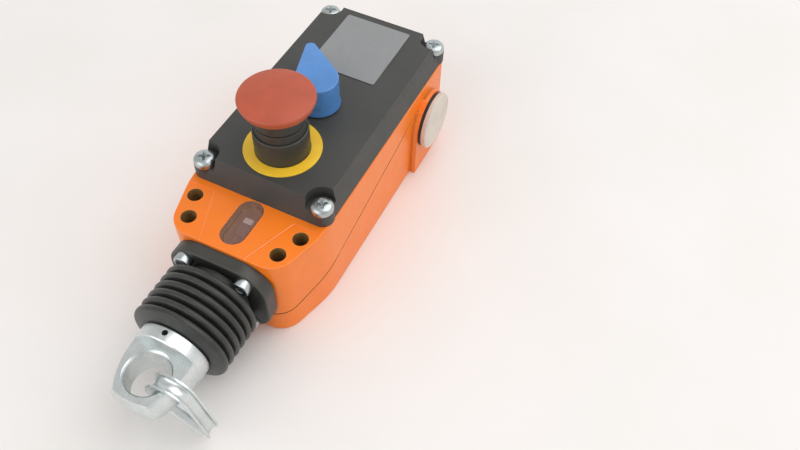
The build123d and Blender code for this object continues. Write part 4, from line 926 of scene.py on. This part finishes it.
def grown(carrier, tree, values, name):
    """Runs a node tree on an object and returns its result as a plain mesh object."""
    modifier = carrier.modifiers.new("grow", "NODES")
    modifier.node_group = tree
    for item in tree.interface.items_tree:
        if item.item_type == "SOCKET" and item.in_out == "INPUT" and item.name in values:
            modifier[item.identifier] = values[item.name]
    mesh = evaluated(carrier, name)
    carrier.modifiers.remove(modifier)
    bpy.data.objects.remove(carrier)
    return piece_from(mesh, name)


def arc(centre, radius, start, end, steps):
    """Points of an arc in a profile, angles in degrees."""
    points = []
    for step in range(steps + 1):
        angle = math.radians(start + (end - start) * step / steps)
        points.append((centre[0] + radius * math.cos(angle), centre[1] + radius * math.sin(angle)))
    return points


CASTING_ROUND = 0.6
SHEET_ROUND = 0.2
TURNED_ROUND = 1.5
KNOB_ROUND = 1.3


class SWITCH_OT_housing(bpy.types.Operator):
    """Housing, cover and rating plate with rounded edges and baked enamel"""

    bl_idname = "switch.housing"
    bl_label = "Housing and cover"

    def execute(self, context):
        edge = sizes().edge_round
        casting = dressed("housing", edge * CASTING_ROUND)
        recess_walls_painted_shade(casting)
        painted_land_glint(casting)
        dressed("cover", edge)
        dressed("cover_gasket", sizes().fine_round)
        dressed("label_plate", edge * SHEET_ROUND)
        dressed("estop_ring", edge * SHEET_ROUND)
        return {"FINISHED"}


HOLE_MARGIN = 0.15 * MM
WALL_MARGIN = 2.9 * MM
FRONT_BLOCK = 28.0 * MM
WALL_TILT = 0.5


def recess_walls_painted_shade(piece):
    """Gives the fixing holes, the marker's chamber and the inside of the box the darker casting finish: partly bare
    metal, partly painted shade in these recesses.
    """
    piece.data.materials.append(finish_of("bare_casting"))
    bare = len(piece.data.materials) - 1
    holes = []
    for mount in frame["record"]["mounts"]:
        if mount["kind"] == "bolt_pattern":
            half = mount["dims"]["spacing_x_mm"] * MM / 2
            reach = mount["dims"]["hole_r_mm"] * MM + HOLE_MARGIN
            holes += [(side * half, mount["pos_m"][1], reach) for side in (-1, 1)]
    low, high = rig.box("housing")
    lens_low, lens_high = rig.box("window_lens")
    for face in piece.data.polygons:
        spot = face.center
        upright = abs(face.normal.z) < WALL_TILT
        in_hole = upright and any(math.hypot(spot.x - x, spot.y - y) < reach for x, y, reach in holes)
        in_chamber = (
            lens_low.x - HOLE_MARGIN < spot.x < lens_high.x + HOLE_MARGIN
            and lens_low.y - HOLE_MARGIN < spot.y < lens_high.y + HOLE_MARGIN
            and WALL_MARGIN < spot.z < high.z - HOLE_MARGIN
        )
        in_box = (
            low.y + FRONT_BLOCK < spot.y < high.y - WALL_MARGIN
            and low.x + 2 * WALL_MARGIN < spot.x < -low.x - 2 * WALL_MARGIN
            and WALL_MARGIN < spot.z < high.z - HOLE_MARGIN
        )
        if in_hole or in_chamber or in_box:
            face.material_index = bare


LAND_EDGE = (Vector((8.3, -15.6)) * MM, Vector((15.8, 4.2)) * MM)
LAND_REACH = 0.7 * MM
PLAIN_EDGE = 0.2


def painted_land_glint(piece):
    """Paints a pale highlight on the rounded edges of the two lands, a glint where they catch the light, and keeps
    only a faint share of that pale edge on the other edges.
    """
    start, end = LAND_EDGE
    along = (end - start).normalized()
    rims = piece.data.attributes["rim"].data
    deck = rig.box("housing")[1].z
    for face, rim in zip(piece.data.polygons, rims):
        spot = Vector((abs(face.center.x), face.center.y)) - start
        run = spot.dot(along)
        off = abs(spot.x * along.y - spot.y * along.x)
        on_land = off < LAND_REACH and 0 < run < (end - start).length and face.center.z > deck - LAND_REACH
        rim.value *= 1.0 if on_land else PLAIN_EDGE


class SWITCH_OT_window(bpy.types.Operator):
    """Clear window and the marker under it"""

    bl_idname = "switch.window"
    bl_label = "Window"

    def execute(self, context):
        dressed("window_lens", sizes().fine_round)
        dressed("indicator", sizes().fine_round)
        dressed("indicator_tab", sizes().fine_round)
        return {"FINISHED"}


class SWITCH_OT_stop_button(bpy.types.Operator):
    """Mushroom button, its sleeve and its collar"""

    bl_idname = "switch.stop_button"
    bl_label = "Stop button"

    def execute(self, context):
        for node in ("estop_button", "estop_sleeve", "estop_collar"):
            dressed(node, sizes().fine_round * TURNED_ROUND)
        return {"FINISHED"}


class SWITCH_OT_reset_knob(bpy.types.Operator):
    """Reset knob with its pointer"""

    bl_idname = "switch.reset_knob"
    bl_label = "Reset knob"

    def execute(self, context):
        stretch_pointer(dressed("reset_knob", sizes().edge_round * KNOB_ROUND, segments=3))
        dressed("knob_seal", sizes().fine_round)
        return {"FINISHED"}


def stretch_pointer(piece):
    """Draws the pointer's nose out from the round cap."""
    centre = pivot("reset_turn").xy
    spots = [vert.co.xy - centre for vert in piece.data.vertices]
    furthest = max(spots, key=lambda spot: spot.length)
    ahead = furthest.normalized()
    cap = min(max(spot.dot(side) for spot in spots) for side in (ahead.orthogonal(), -ahead.orthogonal()))
    for vert, spot in zip(piece.data.vertices, spots):
        share = max(0.0, (spot.dot(ahead) - cap) / (furthest.length - cap))
        vert.co.xy += ahead * share * sizes().pointer_reach


class SWITCH_OT_gaiter(bpy.types.Operator):
    """Rubber gaiter and its flange"""

    bl_idname = "switch.gaiter"
    bl_label = "Gaiter"

    def execute(self, context):
        dressed("bellows_flange", sizes().edge_round)
        gaiter()
        return {"FINISHED"}


def gaiter():
    """Six rubber folds, the cuff that grips the flange's spigot and the end that closes on the eye."""
    size = sizes()
    low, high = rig.box("bellows")
    axis_z = (low.z + high.z) / 2
    crest = (high.z - low.z) / 2
    first_fold = high.y - CUFF_LENGTH
    values = {
        "Folds": size.folds,
        "Segments": ROUND_STEPS,
        "Rubber": finish_of("gaiter_rubber"),
        "Pitch": size.fold_pitch,
        "Valley Radius": crest - size.fold_depth,
        "Depth": size.fold_depth,
        "Crest Width": 2 * size.crest_round,
        "Crest Rounding": size.crest_round,
        "Valley Rounding": size.valley_round,
        "Cuff Radius": CUFF_RADIUS,
        "Nose Radius": NOSE_RADIUS,
        "Nose Reach": first_fold - low.y - (size.folds - 1) * size.fold_pitch,
        "Hub Radius": HUB_RADIUS,
    }
    carrier = piece_from(bpy.data.meshes.new("gaiter_seed"), "gaiter_seed")
    folds = grown(carrier, gaiter_tree(), values, "gaiter_folds")
    with edited(folds.data) as work:
        work.transform(Matrix.Translation((0, first_fold, axis_z)) @ Matrix.Rotation(-math.pi / 2, 4, "X"))
        bmesh.ops.recalc_face_normals(work, faces=work.faces)
    wall = folds.modifiers.new("wall", "SOLIDIFY")
    wall.thickness = size.rubber_wall
    wall.offset = -1.0
    wall.use_even_offset = True
    bore = CUFF_RADIUS - size.rubber_wall
    lip = [(bore, 0), (CUFF_RADIUS - CUFF_LIP, 0), (CUFF_RADIUS, -CUFF_LIP)]
    front = [(CUFF_RADIUS, -CUFF_LENGTH), (bore, -CUFF_LENGTH)]
    cuff = turned("gaiter_cuff", lip + front, Vector((0, high.y, axis_z)), Vector((0, 1, 0)), ROUND_STEPS)
    mesh = bpy.data.meshes.new("rope_gaiter")
    whole = bmesh.new()
    whole.from_mesh(evaluated(folds, "gaiter_wall"))
    whole.from_mesh(cuff.data)
    whole.to_mesh(mesh)
    whole.free()
    smooth(mesh, METAL_ANGLE)
    bpy.data.objects.remove(folds)
    bpy.data.objects.remove(cuff)
    piece = piece_from(mesh, "rope_gaiter")
    stretched(piece, "bellows", "puller", (0, first_fold, axis_z), (0, low.y, axis_z))


class SWITCH_OT_rope_eye(bpy.types.Operator):
    """Plated eye and the thimble for the rope"""

    bl_idname = "switch.rope_eye"
    bl_label = "Eye and thimble"

    def execute(self, context):
        dressed("pull_eye", sizes().fine_round * TURNED_ROUND)
        thimble()
        dressed("pull_rod", sizes().fine_round)
        return {"FINISHED"}


class SWITCH_OT_entries(bpy.types.Operator):
    """Plug of the cable entry and its gasket"""

    bl_idname = "switch.entries"
    bl_label = "Cable entries"

    def execute(self, context):
        dressed("cable_plug", sizes().edge_round)
        dressed("plug_gasket", sizes().fine_round)
        return {"FINISHED"}


class SWITCH_OT_screws(bpy.types.Operator):
    """Screws of the cover and of the flange"""

    bl_idname = "switch.screws"
    bl_label = "Screws"

    def execute(self, context):
        set_screws("cover_screws", pan_head_screw, COVER_HEAD, 2, 1, (0.0, 0.0, 0.0))
        set_screws("flange_screws", socket_head_screw, FLANGE_HEAD, 1, -1, (math.pi / 2, 0.0, 0.0))
        return {"FINISHED"}


SPRING_END = 1.6 * MM


def sprung(node, child, axis):
    """A spring that is pressed together as child moves along the axis."""
    piece = piece_from(frame["nodes"][node].data.copy(), node + "_coil")
    low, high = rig.box(node)
    start = (low + high) / 2
    end = start.copy()
    start[axis] = low[axis] + SPRING_END
    end[axis] = high[axis] - SPRING_END
    stretched(piece, node, child, tuple(start), tuple(end))


class SWITCH_OT_mechanism(bpy.types.Operator):
    """Springs that follow their joints, and the finishes of the other pieces inside the housing"""

    bl_idname = "switch.mechanism"
    bl_label = "Mechanism"

    def execute(self, context):
        sprung("main_spring", "puller", 1)
        sprung("estop_spring", "stop_button", 2)
        made = {piece["cad_node"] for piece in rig.table()["pieces"] if "cad_node" in piece}
        show(*sorted(made))
        return {"FINISHED"}


class SWITCH_OT_stage(bpy.types.Operator):
    """Pale floor, soft lamps and the camera"""

    bl_idname = "switch.stage"
    bl_label = "Stage"

    def execute(self, context):
        make_floor()
        make_lamps()
        make_world()
        make_camera()
        context.scene.view_settings.view_transform = "Standard"
        return {"FINISHED"}


FLOOR_HALF = 2.0
FLOOR_GAP = 0.02 * MM


def make_floor():
    """A white table top that keeps the shadow."""
    mesh = bpy.data.meshes.new("table_top")
    corners = [(x * FLOOR_HALF, y * FLOOR_HALF, -FLOOR_GAP) for x, y in ((-1, -1), (1, -1), (1, 1), (-1, 1))]
    mesh.from_pydata(corners, [], [(0, 1, 2, 3)])
    mesh.materials.append(white_laminate("white_laminate"))
    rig.stage(piece_from(mesh, "table_top"))


LAMPS = (
    ("key_softbox", (0.4, 0.3, 0.86), 1.0, 4.7),
    ("fill_softbox", (-0.35, -0.85, 0.55), 1.0, 3.8),
)
AIM = Vector((0.0, 0.02, 0.02))
SURROUND_LIGHT = 0.64
FRONT_SHADE = 0.3
ROOM_FRONT = (-0.35, -0.8, 0.5)


def make_lamps():
    """Two large softboxes."""
    for name, place, side, power in LAMPS:
        lamp = bpy.data.lights.new(name, "AREA")
        lamp.shape = "SQUARE"
        lamp.size = side
        lamp.energy = power
        holder = bpy.data.objects.new(name, lamp)
        bpy.context.scene.collection.objects.link(holder)
        holder.location = place
        holder.rotation_mode = "QUATERNION"
        holder.rotation_quaternion = (AIM - Vector(place)).to_track_quat("-Z", "Y")


def make_world():
    """An even pale surround, white to the camera and darker toward the front in reflections."""
    world = bpy.data.worlds.new("pale_room")
    bpy.context.scene.world = world
    world.use_nodes = True
    tree = world.node_tree
    tree.nodes.clear()
    path = add(tree, "ShaderNodeLightPath").outputs
    aim = add(tree, "ShaderNodeTexCoord").outputs["Generated"]
    front = add(tree, "ShaderNodeVectorMath", {"operation": "DOT_PRODUCT"}, {0: aim, 1: ROOM_FRONT})
    span = {"From Min": -0.1, "From Max": 0.9, "To Min": 1.0, "To Max": FRONT_SHADE}
    shaded = add(tree, "ShaderNodeMapRange", inputs={"Value": front.outputs["Value"], **span})
    mirror = add(tree, "ShaderNodeMath", {"operation": "MULTIPLY"}, {0: shaded, 1: path["Is Glossy Ray"]})
    strength = SURROUND_LIGHT
    for ray in (path["Is Camera Ray"], path["Is Transmission Ray"], mirror):
        strength = add(tree, "ShaderNodeMath", {"operation": "MAXIMUM"}, {0: ray, 1: strength})
    glow = add(tree, "ShaderNodeBackground", inputs={"Color": (*linear("#F3F2F1"), 1), "Strength": strength})
    add(tree, "ShaderNodeOutputWorld", inputs={"Surface": glow})


CAMERA_PLACE = Vector((111.742, -125.781, 249.593)) * MM
CAMERA_BACK = Vector((0.24285, -0.55206, 0.79766))
CAMERA_ROLL = math.radians(2.588)
CAMERA_LENS = 35.375
CAMERA_SENSOR = 36.0
CAMERA_CLIP = (0.01, 20.0)


def make_camera():
    """The photograph's viewpoint."""
    camera = bpy.data.cameras.new("view")
    camera.lens = CAMERA_LENS
    camera.sensor_width = CAMERA_SENSOR
    camera.clip_start, camera.clip_end = CAMERA_CLIP
    holder = bpy.data.objects.new("view", camera)
    bpy.context.scene.collection.objects.link(holder)
    back = CAMERA_BACK.normalized()
    level = Vector((0, 0, 1)).cross(back).normalized()
    upright = back.cross(level)
    right = math.cos(CAMERA_ROLL) * level + math.sin(CAMERA_ROLL) * upright
    up = -math.sin(CAMERA_ROLL) * level + math.cos(CAMERA_ROLL) * upright
    turn = Matrix((right, up, back)).transposed()
    holder.matrix_world = Matrix.Translation(CAMERA_PLACE) @ turn.to_4x4()
    bpy.context.scene.camera = holder


OPERATORS = (
    SWITCH_OT_housing,
    SWITCH_OT_window,
    SWITCH_OT_stop_button,
    SWITCH_OT_reset_knob,
    SWITCH_OT_gaiter,
    SWITCH_OT_rope_eye,
    SWITCH_OT_entries,
    SWITCH_OT_screws,
    SWITCH_OT_mechanism,
    SWITCH_OT_stage,
)


class SWITCH_PT_panel(bpy.types.Panel):
    """Sizes, colours and steps of the switch"""

    bl_idname = "SWITCH_PT_panel"
    bl_label = "Rope pull switch"
    bl_space_type = "VIEW_3D"
    bl_region_type = "UI"
    bl_category = "Switch"

    def draw(self, context):
        """Lists the sizes, the colours and the steps."""
        for group in (context.scene.switch_sizes, context.scene.switch_colours):
            for name in group.__annotations__:
                self.layout.prop(group, name)
        for operator in OPERATORS:
            self.layout.operator(operator.bl_idname)


CLASSES = (SwitchSizes, SwitchColours, *OPERATORS, SWITCH_PT_panel)


def register():
    """Adds the classes and the scene's properties."""
    for kind in CLASSES:
        bpy.utils.register_class(kind)
    bpy.types.Scene.switch_sizes = bpy.props.PointerProperty(type=SwitchSizes)
    bpy.types.Scene.switch_colours = bpy.props.PointerProperty(type=SwitchColours)


def unregister():
    """Takes them out again."""
    del bpy.types.Scene.switch_colours
    del bpy.types.Scene.switch_sizes
    for kind in reversed(CLASSES):
        bpy.utils.unregister_class(kind)


def main():
    """Runs every step and writes how large the visible model is."""
    register()
    for operator in OPERATORS:
        group, name = operator.bl_idname.split(".")
        getattr(getattr(bpy.ops, group), name)()
    visual = [list(corner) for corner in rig.bounds()]
    with open(SIZE_FILE, "w") as handle:
        json.dump({"cad": CAD_BOX, "visual": visual}, handle)


if __name__ == "__main__":
    main()
